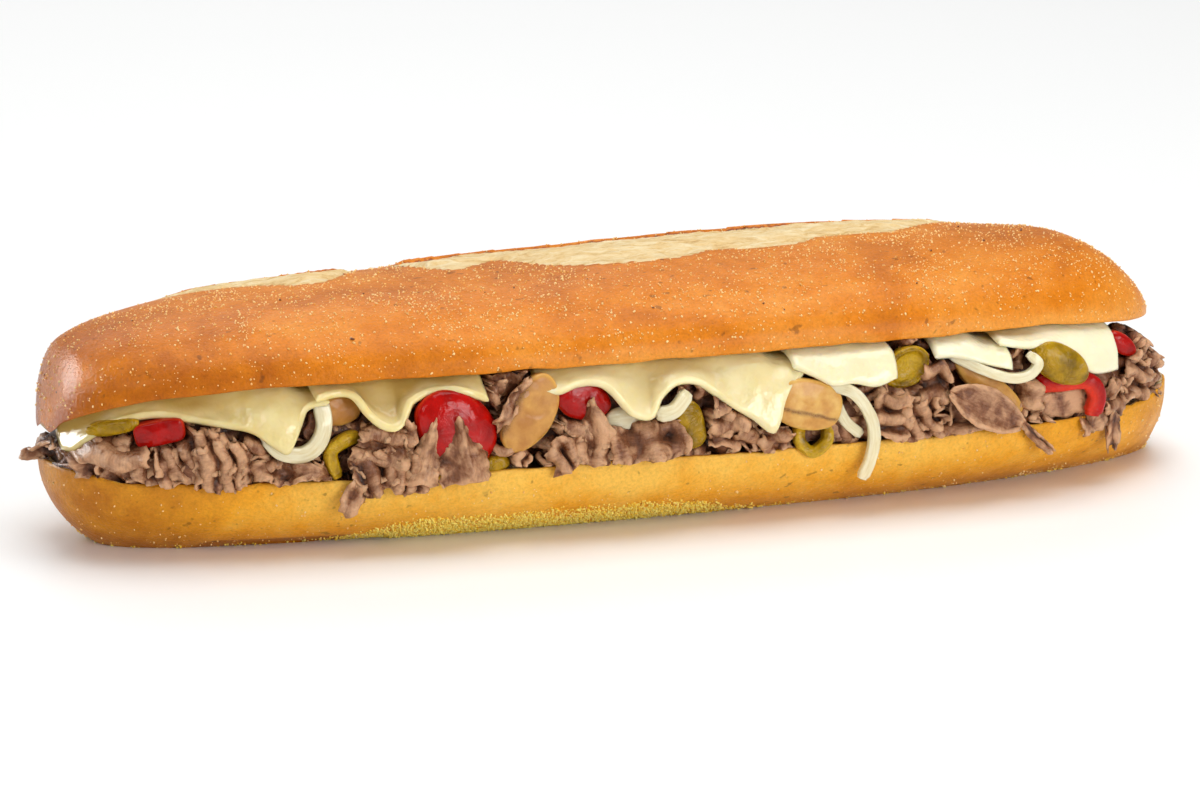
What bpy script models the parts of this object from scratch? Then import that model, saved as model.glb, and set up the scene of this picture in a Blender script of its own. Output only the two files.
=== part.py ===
"""A submarine sandwich: a long roll cut in two, filled with shaved steak, sliced cheese, red and green
peppers, onion and mushroom.

X runs along the roll, Y from the shown side to the far side, Z up. The origin is on the table under the
middle of the roll. Sizes are in millimetres, and add_object() turns them into metres.
"""

import math
import random

import bmesh
import bpy
from mathutils import Euler, Vector, noise

MM = 0.001

# Driving sizes of the roll, 305 mm long, 90 mm wide and 64 mm high when filled.
HEEL_PLAN = {"left": -152.0, "right": 153.0, "widest": 60.0, "half": 45.0, "powers": (2.5, 2.4)}
BASE_PLAN = {"left": -139.0, "right": 151.5, "widest": 40.0, "half": 27.0, "powers": (2.3, 2.0)}
CROWN_PLAN = {"left": -151.5, "right": 146.5, "widest": 50.0, "half": 43.5, "powers": (3.0, 2.6)}
RIM_HEIGHT = 19.5
RIM_DIP = 3.0
LEFT_RISE = 3.2
RIGHT_RISE = 1.6
FLANK_HEIGHTS = (0.0, 1.2, 4.0, 8.0, 13.0, RIM_HEIGHT)
FLANK_TUCK = 2.4
CUT_LINE = [(-151.5, 30), (-149.5, 34.5), (-143, 38.4), (-134, 41), (-124, 43), (-110, 44.2), (-90, 45),
            (78, 45.1), (102, 44.7), (121, 42.9), (146.5, 39.6)]
RIDGE_LINE = [(-151.5, 46.5), (-146, 51.2), (-138, 54.2), (-128, 56.2), (-115, 58), (-100, 59.4), (-50, 61),
              (0, 62.6), (60, 63.2), (80, 62.6), (100, 61.4), (115, 60.4), (126, 58.8), (134, 55),
              (141, 49), (146.5, 44)]
CROWN_ROUNDNESS = 2.3
NOSE = 7.0
SECTION_POINTS = 22
UNDER_POINTS = 4
STATIONS = 46

# Score cuts along the top of the roll. Each opened between a front lip and a back lip, given as (x, y).
SCORES = [
    {"front": [(-119, 22), (-101, 15), (-90.5, 10.5), (-82.5, 5.5), (-77, 6), (-71, 11.5), (-64, 21)],
     "back": [(-119, 23), (-105, 25.5), (-90, 27), (-75, 26), (-64, 22)]},
    {"front": [(-54, 20), (-48.5, 11), (-46, 6.5), (-40.5, 4), (-34.5, 7), (-28.5, 8.5), (-24, 3.5),
               (-18, -3), (-12, -6.5), (-5.5, -8.5), (3, -9.5), (10.5, -9), (18.5, -7), (24.5, -4),
               (35.5, -5), (47.5, -5), (56, 0.5), (62, 1.5), (70.5, 1), (78.5, 2), (90.5, 10.5),
               (104, 20.5)],
     "back": [(-54, 21), (-40, 24.5), (-15, 27), (10, 28), (40, 27), (70, 26), (90, 24), (104, 21.5)]},
]
SCORE_STEP = 1.3
SCORE_SWELL = 2.4
SCORE_EAR = 1.5

CHEESE_THICKNESS = 2.1
CHEESE_LEVEL = 2.5
CHEESE_GAP = 0.5
CHEESE_RAMP = 7.0
CHEESE_LAP = 12.0
HANG_POINTS = 4
CHEESE_COLUMN = 4.2

HEAP_ROOF = [(120, 46), (130, 41), (136, 37), (142, 32), (147, 28), (151, 25)]
CORE_INSET = 5.5
CORE_STATIONS = 34
CORE_POINTS = 14
CORE_BUMP = 1.3
SLICE_THICKNESS = 2.0
HEAP_FACES = 3600
MOST_FACES = {"steak": 5600, "cheese": 420}
CLEARANCE = 0.7

COLOURS = {
    "crust": (0.70, 0.33, 0.08),
    "crumb": (0.88, 0.72, 0.46),
    "steak": (0.24, 0.13, 0.10),
    "cheese": (0.90, 0.83, 0.48),
    "red_pepper": (0.70, 0.03, 0.02),
    "green_pepper": (0.36, 0.36, 0.05),
    "onion": (0.78, 0.76, 0.60),
    "mushroom": (0.72, 0.50, 0.24),
}
ROUGHNESS = {"crust": 0.45, "crumb": 0.9, "steak": 0.5, "cheese": 0.3, "red_pepper": 0.2,
             "green_pepper": 0.25, "onion": 0.2, "mushroom": 0.4}


def clear_scene():
    for old in list(bpy.data.objects):
        bpy.data.objects.remove(old, do_unlink=True)


def finish_material(kind):
    """The Principled finish of one kind of food, made once."""
    if kind in bpy.data.materials:
        return bpy.data.materials[kind]
    finish = bpy.data.materials.new(kind)
    finish.use_nodes = True
    shader = finish.node_tree.nodes["Principled BSDF"]
    shader.inputs["Base Color"].default_value = (*COLOURS[kind], 1.0)
    shader.inputs["Roughness"].default_value = ROUGHNESS[kind]
    shader.inputs["Metallic"].default_value = 0.0
    return finish


def add_object(name, points, faces, kind):
    """An object from points in millimetres and faces, with its normals turned out."""
    mesh = bpy.data.meshes.new(name)
    mesh.from_pydata([tuple(c * MM for c in p) for p in points], [], faces)
    shape = bmesh.new()
    shape.from_mesh(mesh)
    bmesh.ops.recalc_face_normals(shape, faces=shape.faces)
    if shape.calc_volume(signed=True) < 0:
        bmesh.ops.reverse_faces(shape, faces=shape.faces)
    shape.to_mesh(mesh)
    shape.free()
    mesh.shade_smooth()
    mesh.materials.append(finish_material(kind))
    made = bpy.data.objects.new(name, mesh)
    bpy.context.scene.collection.objects.link(made)
    return made


def along(line, x):
    """The value at x on a smooth line through (x, value) points, level past its ends."""
    if x <= line[0][0]:
        return line[0][1]
    for i in range(len(line) - 1):
        (x0, v0), (x1, v1) = line[i], line[i + 1]
        if x <= x1:
            before = line[max(i - 1, 0)]
            after = line[min(i + 2, len(line) - 1)]
            rise_in = (v1 - before[1]) / (x1 - before[0])
            rise_out = (after[1] - v0) / (after[0] - x0)
            t, span = (x - x0) / (x1 - x0), x1 - x0
            return ((1 + 2 * t) * (1 - t) ** 2 * v0 + t * (1 - t) ** 2 * span * rise_in
                    + t * t * (3 - 2 * t) * v1 + t * t * (t - 1) * span * rise_out)
    return line[-1][1]


def half_width(x, plan):
    """Half the width of a plan outline at x: two superellipse ends that meet at the widest place."""
    left_side = x < plan["widest"]
    reach = plan["widest"] - plan["left"] if left_side else plan["right"] - plan["widest"]
    power = plan["powers"][0 if left_side else 1]
    share = min(1.0, abs(x - plan["widest"]) / reach)
    return plan["half"] * (1 - share ** power) ** (1 / power)


def signed_power(value, power):
    return math.copysign(abs(value) ** power, value)


def smooth_share(low, high, value):
    """0 below low and 1 above high, with a smooth rise between them."""
    share = min(1.0, max(0.0, (value - low) / (high - low)))
    return share * share * (3 - 2 * share)


def rim_height(x):
    """Height of the rim of the lower half, which rises towards both ends."""
    left, right = 1 - smooth_share(-152, -134, x), smooth_share(132, 152, x)
    return RIM_HEIGHT + LEFT_RISE * left + RIGHT_RISE * right


def plan_point(plan, turn):
    """The point of a plan outline at an angle, from the right end round by the far side."""
    c, s = math.cos(turn), math.sin(turn)
    reach = plan["right"] - plan["widest"] if c >= 0 else plan["widest"] - plan["left"]
    power = plan["powers"][1 if c >= 0 else 0]
    return plan["widest"] + reach * signed_power(c, 2 / power), plan["half"] * signed_power(s, 2 / power)


def mixed_plan(share):
    """The plan outline between the base, at 0, and the rim, at 1."""
    mixed = {key: BASE_PLAN[key] + (HEEL_PLAN[key] - BASE_PLAN[key]) * share
             for key in ("left", "right", "widest", "half")}
    mixed["powers"] = tuple(a + (b - a) * share for a, b in zip(BASE_PLAN["powers"], HEEL_PLAN["powers"]))
    return mixed


def stacked_rings(rings, bottom_face, top_centre):
    """Points and faces of rings stacked from the bottom up, closed by one flat face and a fan."""
    count = len(rings[0])
    points = [p for ring in rings for p in ring]
    faces = [list(range(count))[::-1]] if bottom_face else []
    for level in range(len(rings) - 1):
        for i in range(count):
            j = (i + 1) % count
            low, high = level * count, (level + 1) * count
            faces.append((low + i, low + j, high + j, high + i))
    last = (len(rings) - 1) * count
    points.append(top_centre)
    faces += [(last + i, last + (i + 1) % count, len(points) - 1) for i in range(count)]
    return points, faces


def make_heel():
    """The lower half of the roll: a flat base, a rounded flank, and a cut face that dips in the middle."""
    ring_points, face_levels = 48, 3
    turns = [2 * math.pi * i / ring_points for i in range(ring_points)]
    rings = []
    for height in FLANK_HEIGHTS:
        plan = mixed_plan(1 - (1 - height / RIM_HEIGHT) ** FLANK_TUCK)
        ring = [plan_point(plan, turn) for turn in turns]
        rings.append([(x, y, height * rim_height(x) / RIM_HEIGHT) for x, y in ring])
    rim = rings[-1]
    middle = HEEL_PLAN["widest"] * 0.2
    for level in range(1, face_levels + 1):
        share = 1 - level / (face_levels + 0.6)
        shorten = 1 - 0.25 * (1 - share) ** 2 - 0.1 * (1 - share)
        dip = RIM_DIP * (1 - share ** 2)
        level_height = RIM_HEIGHT - dip
        rings.append([(middle + (x - middle) * shorten, y * share, level_height + (z - RIM_HEIGHT) * share)
                      for x, y, z in rim])
    points, faces = stacked_rings(rings, True, (middle, 0.0, RIM_HEIGHT - RIM_DIP))
    return add_object("bun_bottom", points, faces, "crust")


def score_relief(x, y):
    """How far the crown's top stands out of its plain dome at x, y, where the baker's cuts opened."""
    for score in SCORES:
        if not score["front"][0][0] < x < score["front"][-1][0]:
            continue
        front, back = along(score["front"], x), along(score["back"], x)
        width = max(0.5, back - front)
        opened = smooth_share(0.5, 9.0, width)
        if 0 < y - front < width:
            return (SCORE_SWELL * math.sin(math.pi * (y - front) / width) - SCORE_STEP) * opened
        if 0 <= y - back < 6:
            return SCORE_EAR * opened * (1 - (y - back) / 6)
    return 0.0


def crown_section(x):
    """The ring of points of the upper half at x, from the shown edge over the top and back below."""
    half = half_width(x, CROWN_PLAN)
    end = min(x - CROWN_PLAN["left"], CROWN_PLAN["right"] - x)
    close = 1.0 if end >= NOSE else math.sqrt(1 - (1 - end / NOSE) ** 2)
    low, high = along(CUT_LINE, x), along(RIDGE_LINE, x)
    high = low + (high - low) * close
    ring = []
    for i in range(SECTION_POINTS + 1):
        turn = math.pi * i / SECTION_POINTS
        y = -half * signed_power(math.cos(turn), 2 / CROWN_ROUNDNESS)
        z = low + (high - low) * abs(math.sin(turn)) ** (2 / CROWN_ROUNDNESS)
        ring.append((x, y, z + score_relief(x, y) * close))
    for i in range(1, UNDER_POINTS):
        ring.append((x, half * (1 - 2 * i / UNDER_POINTS), low))
    return ring


def make_crown():
    """The upper half of the roll: a dome with score cuts along its top and a flat cut face below."""
    left, right = CROWN_PLAN["left"], CROWN_PLAN["right"]
    shares = [(1 - math.cos(math.pi * i / STATIONS)) / 2 for i in range(1, STATIONS)]
    stations = [left + (right - left) * share for share in shares]
    rings = [crown_section(x) for x in stations]
    points = [p for ring in rings for p in ring]
    count = len(rings[0])
    faces = []
    for level in range(len(rings) - 1):
        for i in range(count):
            j = (i + 1) % count
            low, high = level * count, (level + 1) * count
            faces.append((low + i, low + j, high + j, high + i))
    for tip_x, ring_start in ((left, 0), (right, (len(rings) - 1) * count)):
        tip_z = along(CUT_LINE, tip_x) * 0.9 + along(RIDGE_LINE, tip_x) * 0.1
        points.append((tip_x, 0.0, tip_z))
        faces += [(ring_start + i, ring_start + (i + 1) % count, len(points) - 1) for i in range(count)]
    return add_object("bun_top", points, faces, "crust")


def sheet_solid(grid, thickness):
    """Points and faces of a thin closed solid round a grid of points, both faces split alike."""
    rows, columns = len(grid), len(grid[0])
    fronts, backs = [], []
    for i in range(rows):
        for j in range(columns):
            down = grid[min(i + 1, rows - 1)][j] - grid[max(i - 1, 0)][j]
            across = grid[i][min(j + 1, columns - 1)] - grid[i][max(j - 1, 0)]
            normal = down.cross(across).normalized() * thickness / 2
            fronts.append(grid[i][j] + normal)
            backs.append(grid[i][j] - normal)
    size = rows * columns
    faces = []
    for i in range(rows - 1):
        for j in range(columns - 1):
            a, b = i * columns + j, (i + 1) * columns + j
            c, d = b + 1, a + 1
            faces += [(a, b, c), (a, c, d)]
            faces += [(size + c, size + b, size + a), (size + d, size + c, size + a)]
    border = [(i, 0) for i in range(rows - 1)]
    border += [(rows - 1, j) for j in range(columns - 1)]
    border += [(i, columns - 1) for i in range(rows - 1, 0, -1)]
    border += [(0, j) for j in range(columns - 1, 0, -1)]
    edge = [i * columns + j for i, j in border]
    for k, first in enumerate(edge):
        second = edge[(k + 1) % len(edge)]
        faces.append((first, second, size + second, size + first))
    return fronts + backs, faces


# The cheese slices from left to right. Each shown edge is a row of (x, height, distance out of the
# rim). "belly" is 0 where the hanging part recedes before its edge flares, and 1 where it bulges. A
# slice with "under" set dips at its right end, where the next slice lies on it.
CHEESE_SLICES = [
    {"under": True, "belly": [(-148, 0.1), (-125, 0.0), (-112, 0.3), (-101, 0.9), (-88, 0.0)],
     "edge": [(-149.5, 27.4, 0.8), (-147, 27.8, 0.8), (-144, 31.0, 0.6), (-139.5, 34.6, 0.0),
              (-134, 36.4, -0.8), (-128, 37.2, -0.8), (-121, 36.2, 0.2), (-113, 34.6, 1.2),
              (-107, 33.0, 1.7), (-102.5, 29.6, 2.6), (-99, 27.8, 3.0), (-96.5, 32, 2.2),
              (-94, 38.0, 0.6), (-88, 40, 0)],
     "far": [(-143, 34), (-120, 37), (-104, 33), (-88, 39)]},
    {"belly": [(-92, 0.5), (-82, 0.1), (-75, 0.2), (-68, 0.0), (-58, 0.1), (-49, 0.4)],
     "edge": [(-92, 41, 2.5), (-86, 42, 1), (-82, 41, 1.5), (-79.5, 37, 3.5), (-75, 33.2, 4.2),
              (-71, 34, 3.5), (-68.5, 39, 1.5), (-58, 41.3, 0), (-49, 38.4, 1.5)],
     "far": [(-92, 38), (-80, 34), (-66, 38), (-49, 32)]},
    {"under": True, "belly": [(-36, 0.2), (-14, 0.4), (-4, 0.2), (10, 0.3), (25, 0.9), (34, 0.5)],
     "edge": [(-36, 40, 0), (-31, 38.8, 0.5), (-26, 40.4, 0), (-20, 40.2, 0), (-16.5, 37.5, 1.5),
              (-12.5, 32.4, 3), (-7, 31.3, 3), (-4.5, 35.5, 1.5), (0, 39, 0.5), (6, 38.6, 1),
              (13, 33.3, 2), (19, 28.9, 3), (25, 25.2, 3.4), (28.5, 33, 1.5), (34, 39, 0)],
     "far": [(-36, 36), (-20, 31), (-6, 37), (10, 35), (22, 30), (34, 37)]},
    {"belly": [(31, 0.6), (45, 0.8), (59, 1.0)],
     "edge": [(31, 41, 0.5), (36, 38.4, 1.5), (41, 35.7, 2.8), (47, 35.6, 2.2), (53, 34.4, 2.5),
              (59, 36, 2)],
     "far": [(31, 35), (45, 38), (59, 34)]},
    {"under": True, "belly": [(70, 0.4), (91, 1.0)],
     "edge": [(70, 40.2, 0.5), (75, 40, 1), (80, 38.6, 1.5), (86, 36.6, 2), (91.5, 35.2, 2)],
     "far": [(70, 33), (82, 37), (91.5, 36)]},
    {"belly": [(88, 0.1), (100, 0.3), (112, 0.9), (122, 1.0)],
     "edge": [(88, 42.4, 1), (97, 40.6, 2), (103, 40.4, 2.5), (110, 35.6, 3.4), (115.5, 31.6, 3.6),
              (120, 30.6, 3.4), (125.5, 30.4, 2.4)],
     "far": [(88, 39), (104, 34), (125.5, 36)]},
]


def cheese_top(x, dip_start=None):
    """Height of the middle of a slice under the crown; past dip_start it lies under its neighbour."""
    top = along(CUT_LINE, x) - CHEESE_GAP - CHEESE_THICKNESS / 2
    if dip_start is None:
        return top
    return top - CHEESE_LEVEL * smooth_share(dip_start, dip_start + CHEESE_RAMP, x)


def filling_half(x):
    """Half the width of the filling at x, no wider than either half of the roll."""
    return min(half_width(x, HEEL_PLAN), half_width(x, CROWN_PLAN) + 1.5)


def draped_side(x, side, top, edge_height, edge_out, belly):
    """Points from a slice's flat middle down to its hanging edge; side is -1 at the shown side."""
    rim = filling_half(x)
    drop = top - edge_height
    start = Vector((x, max(2.0, rim - 8), top))
    over = Vector((x, rim - 5.0 + 4.5 * belly, top - 0.02 * drop))
    down_out = rim - 4.0 + (4.2 + edge_out) * belly
    down = Vector((x, down_out, edge_height + 0.12 * drop + 0.43 * drop * belly))
    end = Vector((x, rim + edge_out, edge_height))
    side_points = []
    for i in range(HANG_POINTS + 1):
        t = i / HANG_POINTS
        p = start * (1 - t) ** 3 + over * 3 * t * (1 - t) ** 2 + down * 3 * t * t * (1 - t) + end * t ** 3
        side_points.append(Vector((x, side * p.y, p.z)))
    return side_points


def make_cheese(number, cheese):
    """One slice, flat under the crown and hanging down at both sides."""
    edge, far = cheese["edge"], cheese["far"]
    heights = [(x, z) for x, z, _ in edge]
    outs = [(x, out) for x, _, out in edge]
    first, last = edge[0][0], edge[-1][0]
    dip_start = last - CHEESE_LAP if cheese.get("under") else None
    columns = max(4, round((last - first) / CHEESE_COLUMN))
    grid = []
    for i in range(columns + 1):
        x = first + (last - first) * i / columns
        top = cheese_top(x, dip_start)
        shown_edge, far_edge = min(along(heights, x), top - 0.8), min(along(far, x), top - 0.8)
        far_out = 1.2 if cheese.get("under") else 2.2
        shown = draped_side(x, -1, top, shown_edge, along(outs, x), along(cheese["belly"], x))
        hidden = draped_side(x, 1, top, far_edge, far_out, 0.5)
        grid.append(shown[::-1] + hidden)
    points, faces = sheet_solid(grid, CHEESE_THICKNESS)
    return add_object(f"cheese_{number}", points, faces, "cheese")


def placed(points, item):
    """Local points, X right, Y up and Z out towards the viewer, put where the item lies on the filling."""
    spin = Euler((math.radians(item.get("lean", 0)), math.radians(item.get("swing", 0)),
                  math.radians(item.get("turn", 0)))).to_matrix()
    far = item.get("far", False)
    x, z = item["at"]
    y = filling_half(x) + item.get("out", 0.0)
    moved = []
    for p in points:
        q = spin @ Vector(p)
        moved.append((x - q.x, y + q.z, z + q.y) if far else (x + q.x, -y - q.z, z + q.y))
    return moved


def oval_outline(width, height, count=11, power=2.0, bite=0.0):
    """An oval outline; bite flattens its lower left, as on a halved piece."""
    outline = []
    for i in range(count):
        turn = 2 * math.pi * i / count
        reach = 1 - bite * max(0.0, math.cos(turn - math.radians(215))) ** 2
        outline.append((width / 2 * reach * signed_power(math.cos(turn), 2 / power),
                        height / 2 * reach * signed_power(math.sin(turn), 2 / power)))
    return outline


def slab(name, kind, item):
    """A cut piece: an outline with a thickness, its outer face domed by the item's dome."""
    outline = oval_outline(*item["size"], power=item.get("power", 2.0), bite=item.get("bite", 0.0))
    thick, dome = item["thick"], item.get("dome", 0.6)
    count = len(outline)
    layers = [(0.86, -thick), (1.0, -thick * 0.25), (0.76, dome * 0.55)]
    points = [(x * scale, y * scale, z) for scale, z in layers for x, y in outline]
    points += [(0.0, 0.0, dome), (0.0, 0.0, -thick - 0.3)]
    faces = []
    for level in range(len(layers) - 1):
        for i in range(count):
            j = (i + 1) % count
            low, high = level * count, (level + 1) * count
            faces.append((low + i, low + j, high + j, high + i))
    top, bottom, last = len(points) - 2, len(points) - 1, (len(layers) - 1) * count
    faces += [(last + i, last + (i + 1) % count, top) for i in range(count)]
    faces += [((i + 1) % count, i, bottom) for i in range(count)]
    return add_object(name, placed(points, item), faces, kind)


def smooth_path(route, steps):
    """Points along a smooth curve through the route's (x, y, z) points."""
    marks = list(range(len(route)))
    lines = [[(m, p[axis]) for m, p in zip(marks, route)] for axis in range(3)]
    return [Vector([along(line, (len(route) - 1) * i / steps) for line in lines]) for i in range(steps + 1)]


def band(name, kind, item):
    """A strip or part ring: a four-sided bar, wide in the plane that is shown and deep into the filling."""
    path = smooth_path(item["route"], item.get("steps", 9))
    wide, deep = item["wide"], item["deep"]
    points = []
    for i, p in enumerate(path):
        ahead = path[min(i + 1, len(path) - 1)] - path[max(i - 1, 0)]
        side = Vector((-ahead.y, ahead.x, 0)).normalized() * wide / 2
        end = 0.7 if i in (0, len(path) - 1) else 1.0
        for across, depth in ((-1, 0), (1, 0), (1, -deep), (-1, -deep)):
            points.append(p + side * across * end + Vector((0, 0, depth)))
    faces = [(0, 1, 2, 3)]
    for i in range(len(path) - 1):
        for k in range(4):
            m = (k + 1) % 4
            faces.append((4 * i + k, 4 * i + m, 4 * i + 4 + m, 4 * i + 4 + k))
    faces.append(tuple(4 * (len(path) - 1) + k for k in (3, 2, 1, 0)))
    return add_object(name, placed(points, item), faces, kind)


# Cut pieces that show in the filling. "at" is the middle along the roll and in height, "out" how far
# the outer face stands out of the rim, and "far" marks the side that faces away.
RED_PEPPERS = [
    {"at": (-128.6, 33), "out": 0.4, "size": (12.5, 6.2), "power": 3.4, "thick": 5, "turn": 14,
     "swing": -22},
    {"at": (-57.4, 31.4), "out": 0.6, "size": (24.5, 18.5), "thick": 4, "dome": 2.4, "turn": -32,
     "bite": 0.15},
    {"at": (-23.4, 35.6), "out": -1.4, "size": (15, 9.5), "thick": 4, "dome": 0.8, "turn": -14},
    {"at": (110, 27), "out": 2.6, "wide": 5.0, "deep": 3.4,
     "route": [(-9, 2.4, -1), (-3, 2.6, 0.3), (4.5, 2.4, 0.4), (7.8, -1.6, 0.2), (6.8, -7.2, -0.4)]},
    {"at": (129, 36), "out": 0.4, "size": (9.5, 5), "thick": 4, "turn": -38},
    {"at": (-95, 30), "out": 0.4, "size": (20, 12), "thick": 4, "dome": 2, "turn": 24, "far": True},
    {"at": (12, 33), "out": 0.2, "size": (15, 8), "power": 3, "thick": 4.5, "turn": -12, "far": True},
    {"at": (98, 29), "out": 0.8, "size": (22, 14), "thick": 4, "dome": 2.2, "turn": 150, "far": True},
]
GREEN_PEPPERS = [
    {"at": (-139.2, 34), "out": 0.4, "size": (13.5, 4), "power": 2.6, "thick": 3, "turn": 12, "swing": -26},
    {"at": (-85.4, 26), "out": 0.6, "wide": 3.4, "deep": 4.0,
     "route": [(5.4, 4.2, -1), (1.6, 3.8, 0), (-2.2, 1.2, 0), (-1.8, -2.6, 0), (-0.6, -5.4, 0)]},
    {"at": (-46.5, 21.6), "out": -0.6, "size": (8, 4.4), "thick": 4},
    {"at": (4.6, 27.7), "out": -0.4, "size": (7, 12.4), "power": 3.0, "thick": 4, "turn": 14},
    {"at": (36.9, 22), "out": 1.8, "wide": 3.0, "deep": 3.6, "steps": 11,
     "route": [(-3.6, 3.4, -1), (-3.8, -0.6, 0), (-0.4, -3.7, 0), (3.5, -1.2, 0), (3.8, 2.8, -0.6)]},
    {"at": (62.8, 37.9), "out": -0.2, "size": (13, 10), "thick": 4, "turn": 28},
    {"at": (106, 35.2), "out": 3.4, "size": (18, 9.8), "thick": 4, "dome": 1.8, "turn": -28},
    {"at": (-52, 27), "out": 0.6, "wide": 3.4, "deep": 4.0, "far": True,
     "route": [(-4.6, 3, 0), (-1, -3, 0), (4, -2, 0), (4.4, 4, 0)]},
    {"at": (48, 34), "out": 0.2, "size": (15, 10), "thick": 4, "dome": 1.4, "turn": 20, "far": True},
    {"at": (-122, 26), "out": 0.4, "size": (12, 6), "thick": 3.4, "turn": -14, "far": True},
]
ONIONS = [
    {"at": (-96, 32.6), "out": 2.0, "wide": 4.1, "deep": 2.4, "steps": 11,
     "route": [(6.2, 7.2, -1.4), (6.6, 1.2, 0), (4.6, -3.6, 0), (0.6, -5.6, 0), (-4.6, -4.2, 0),
               (-8, -0.4, -1.6)]},
    {"at": (-11, 29.8), "out": -2.0, "size": (14, 7.4), "power": 2.6, "thick": 2.4, "turn": 2},
    {"at": (-0.4, 34), "out": 1.6, "wide": 3.8, "deep": 2.4,
     "route": [(-5, -2.6, 0), (-0.4, -1.6, 0.4), (3.4, 2.6, 0)]},
    {"at": (46.6, 24), "out": 3.2, "wide": 3.2, "deep": 1.9, "steps": 12,
     "route": [(-8, 12, -2.4), (0, 9.4, -0.6), (4.6, 3.4, 0), (6, -2.4, 0), (5, -8.4, 0),
               (2.8, -13.4, -0.3)]},
    {"at": (46.5, 26.5), "out": 0.6, "wide": 2.8, "deep": 2.2,
     "route": [(-4.2, 5.6, 0), (-1, -0.8, 0), (3.6, -5, 0)]},
    {"at": (88, 36), "out": 3.4, "wide": 2.7, "deep": 2.0, "steps": 12,
     "route": [(-13, 4, -2.4), (-4.6, -0.2, -0.2), (3, -2.8, 0), (8, -2.4, 0), (10.4, 0.4, 0),
               (8, 3, -0.6)]},
    {"at": (-74, 31), "out": 1.8, "wide": 3.4, "deep": 2.2, "far": True, "steps": 11,
     "route": [(-10, 3, -1), (-4, -2.6, 0), (3, -3.4, 0), (8.6, 1.6, -0.6)]},
    {"at": (30, 24), "out": 2.8, "wide": 3.2, "deep": 2.0, "far": True, "steps": 12,
     "route": [(-7, 9, -2), (-1, 6.4, 0), (2, 0, 0), (1, -8, 0), (-1.4, -12.6, 0)]},
    {"at": (118, 30), "out": 1.0, "wide": 3.2, "deep": 2.2, "far": True,
     "route": [(-7, 3, 0), (0, -2.4, 0), (6, 2, 0)]},
]
MUSHROOMS = [
    {"at": (-37.9, 33.3), "out": 0.8, "size": (22.6, 13), "thick": 4.6, "turn": 66, "bite": 0.2},
    {"at": (35, 30.9), "out": 1.6, "size": (19, 12.8), "power": 2.6, "thick": 5.4, "dome": 0.8,
     "turn": -13},
    {"at": (86.5, 30.4), "out": 0.2, "size": (24, 6.4), "thick": 5, "turn": -38},
    {"at": (-84.6, 36.8), "out": -3.0, "size": (11.5, 8), "thick": 3},
    {"at": (-18, 29), "out": 0.8, "size": (22, 13), "thick": 5, "dome": 0.8, "turn": 205, "bite": 0.2,
     "far": True},
    {"at": (74, 28), "out": 0.6, "size": (19, 11), "power": 2.5, "thick": 5, "turn": 24, "far": True},
]

# Shaved slices placed by hand: the chunks and tails that hang over the rim and out of the ends.
HANGING_SLICES = [
    {"at": (-76, 24), "out": 1.4, "size": (17, 15), "turn": 12, "lean": -12, "fold": 1.8},
    {"at": (-83.6, 16), "out": 1.9, "size": (6.5, 11), "turn": 24, "lean": -6, "fold": 0.6},
    {"at": (-69, 20), "out": 2.2, "size": (13, 9), "turn": -8, "lean": -8, "fold": 1.2},
    {"at": (-55.5, 25.6), "out": 2.8, "size": (10, 14), "turn": 10, "lean": -12, "fold": 1.6},
    {"at": (84, 26), "out": 2.2, "size": (23, 8.6), "turn": -28, "lean": -14, "fold": 1.2},
    {"at": (98.6, 16.4), "out": 1.8, "size": (10, 2.8), "turn": -46, "lean": -4, "fold": 0.3},
    {"at": (-23, 26), "out": -0.2, "size": (7, 15), "turn": 8, "lean": -6, "fold": 1.4},
    {"at": (-8, 24.8), "out": 0.8, "size": (19, 8.4), "turn": 3, "lean": -10, "fold": 1.2},
    {"at": (121.5, 21.6), "out": 2.4, "size": (11, 12), "turn": 10, "lean": -10, "fold": 1.8},
    {"at": (124, 13.6), "out": 2.0, "size": (3.6, 9), "turn": 4, "lean": -4, "fold": 0.4},
    {"at": (135, 25.6), "out": 2.4, "size": (12, 11), "turn": -20, "lean": -16, "swing": 30, "fold": 1.8},
    {"at": (141.5, 20.6), "out": 1.2, "size": (7, 9), "turn": 14, "lean": -8, "swing": 42, "fold": 0.6},
    {"at": (-149.6, 28.4), "out": -1.0, "size": (12, 10), "turn": 10, "lean": 8, "swing": -58, "fold": 1.2},
    {"at": (-148, 26), "out": -1.0, "size": (11, 10), "turn": -20, "swing": -62, "fold": 1.2, "far": True},
    {"at": (-141, 27), "out": -0.6, "size": (15, 9), "turn": 8, "lean": -10, "swing": -30, "fold": 1.6},
    {"at": (-150.4, 23.6), "out": 2.0, "size": (15, 5), "turn": 6, "lean": 40, "swing": -40, "fold": 0.8},
    {"at": (-66, 20), "out": 2.0, "size": (15, 12), "turn": 20, "lean": -10, "fold": 1.6, "far": True},
    {"at": (52, 19), "out": 2.0, "size": (14, 12), "turn": -16, "lean": -10, "fold": 1.6, "far": True},
]


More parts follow.
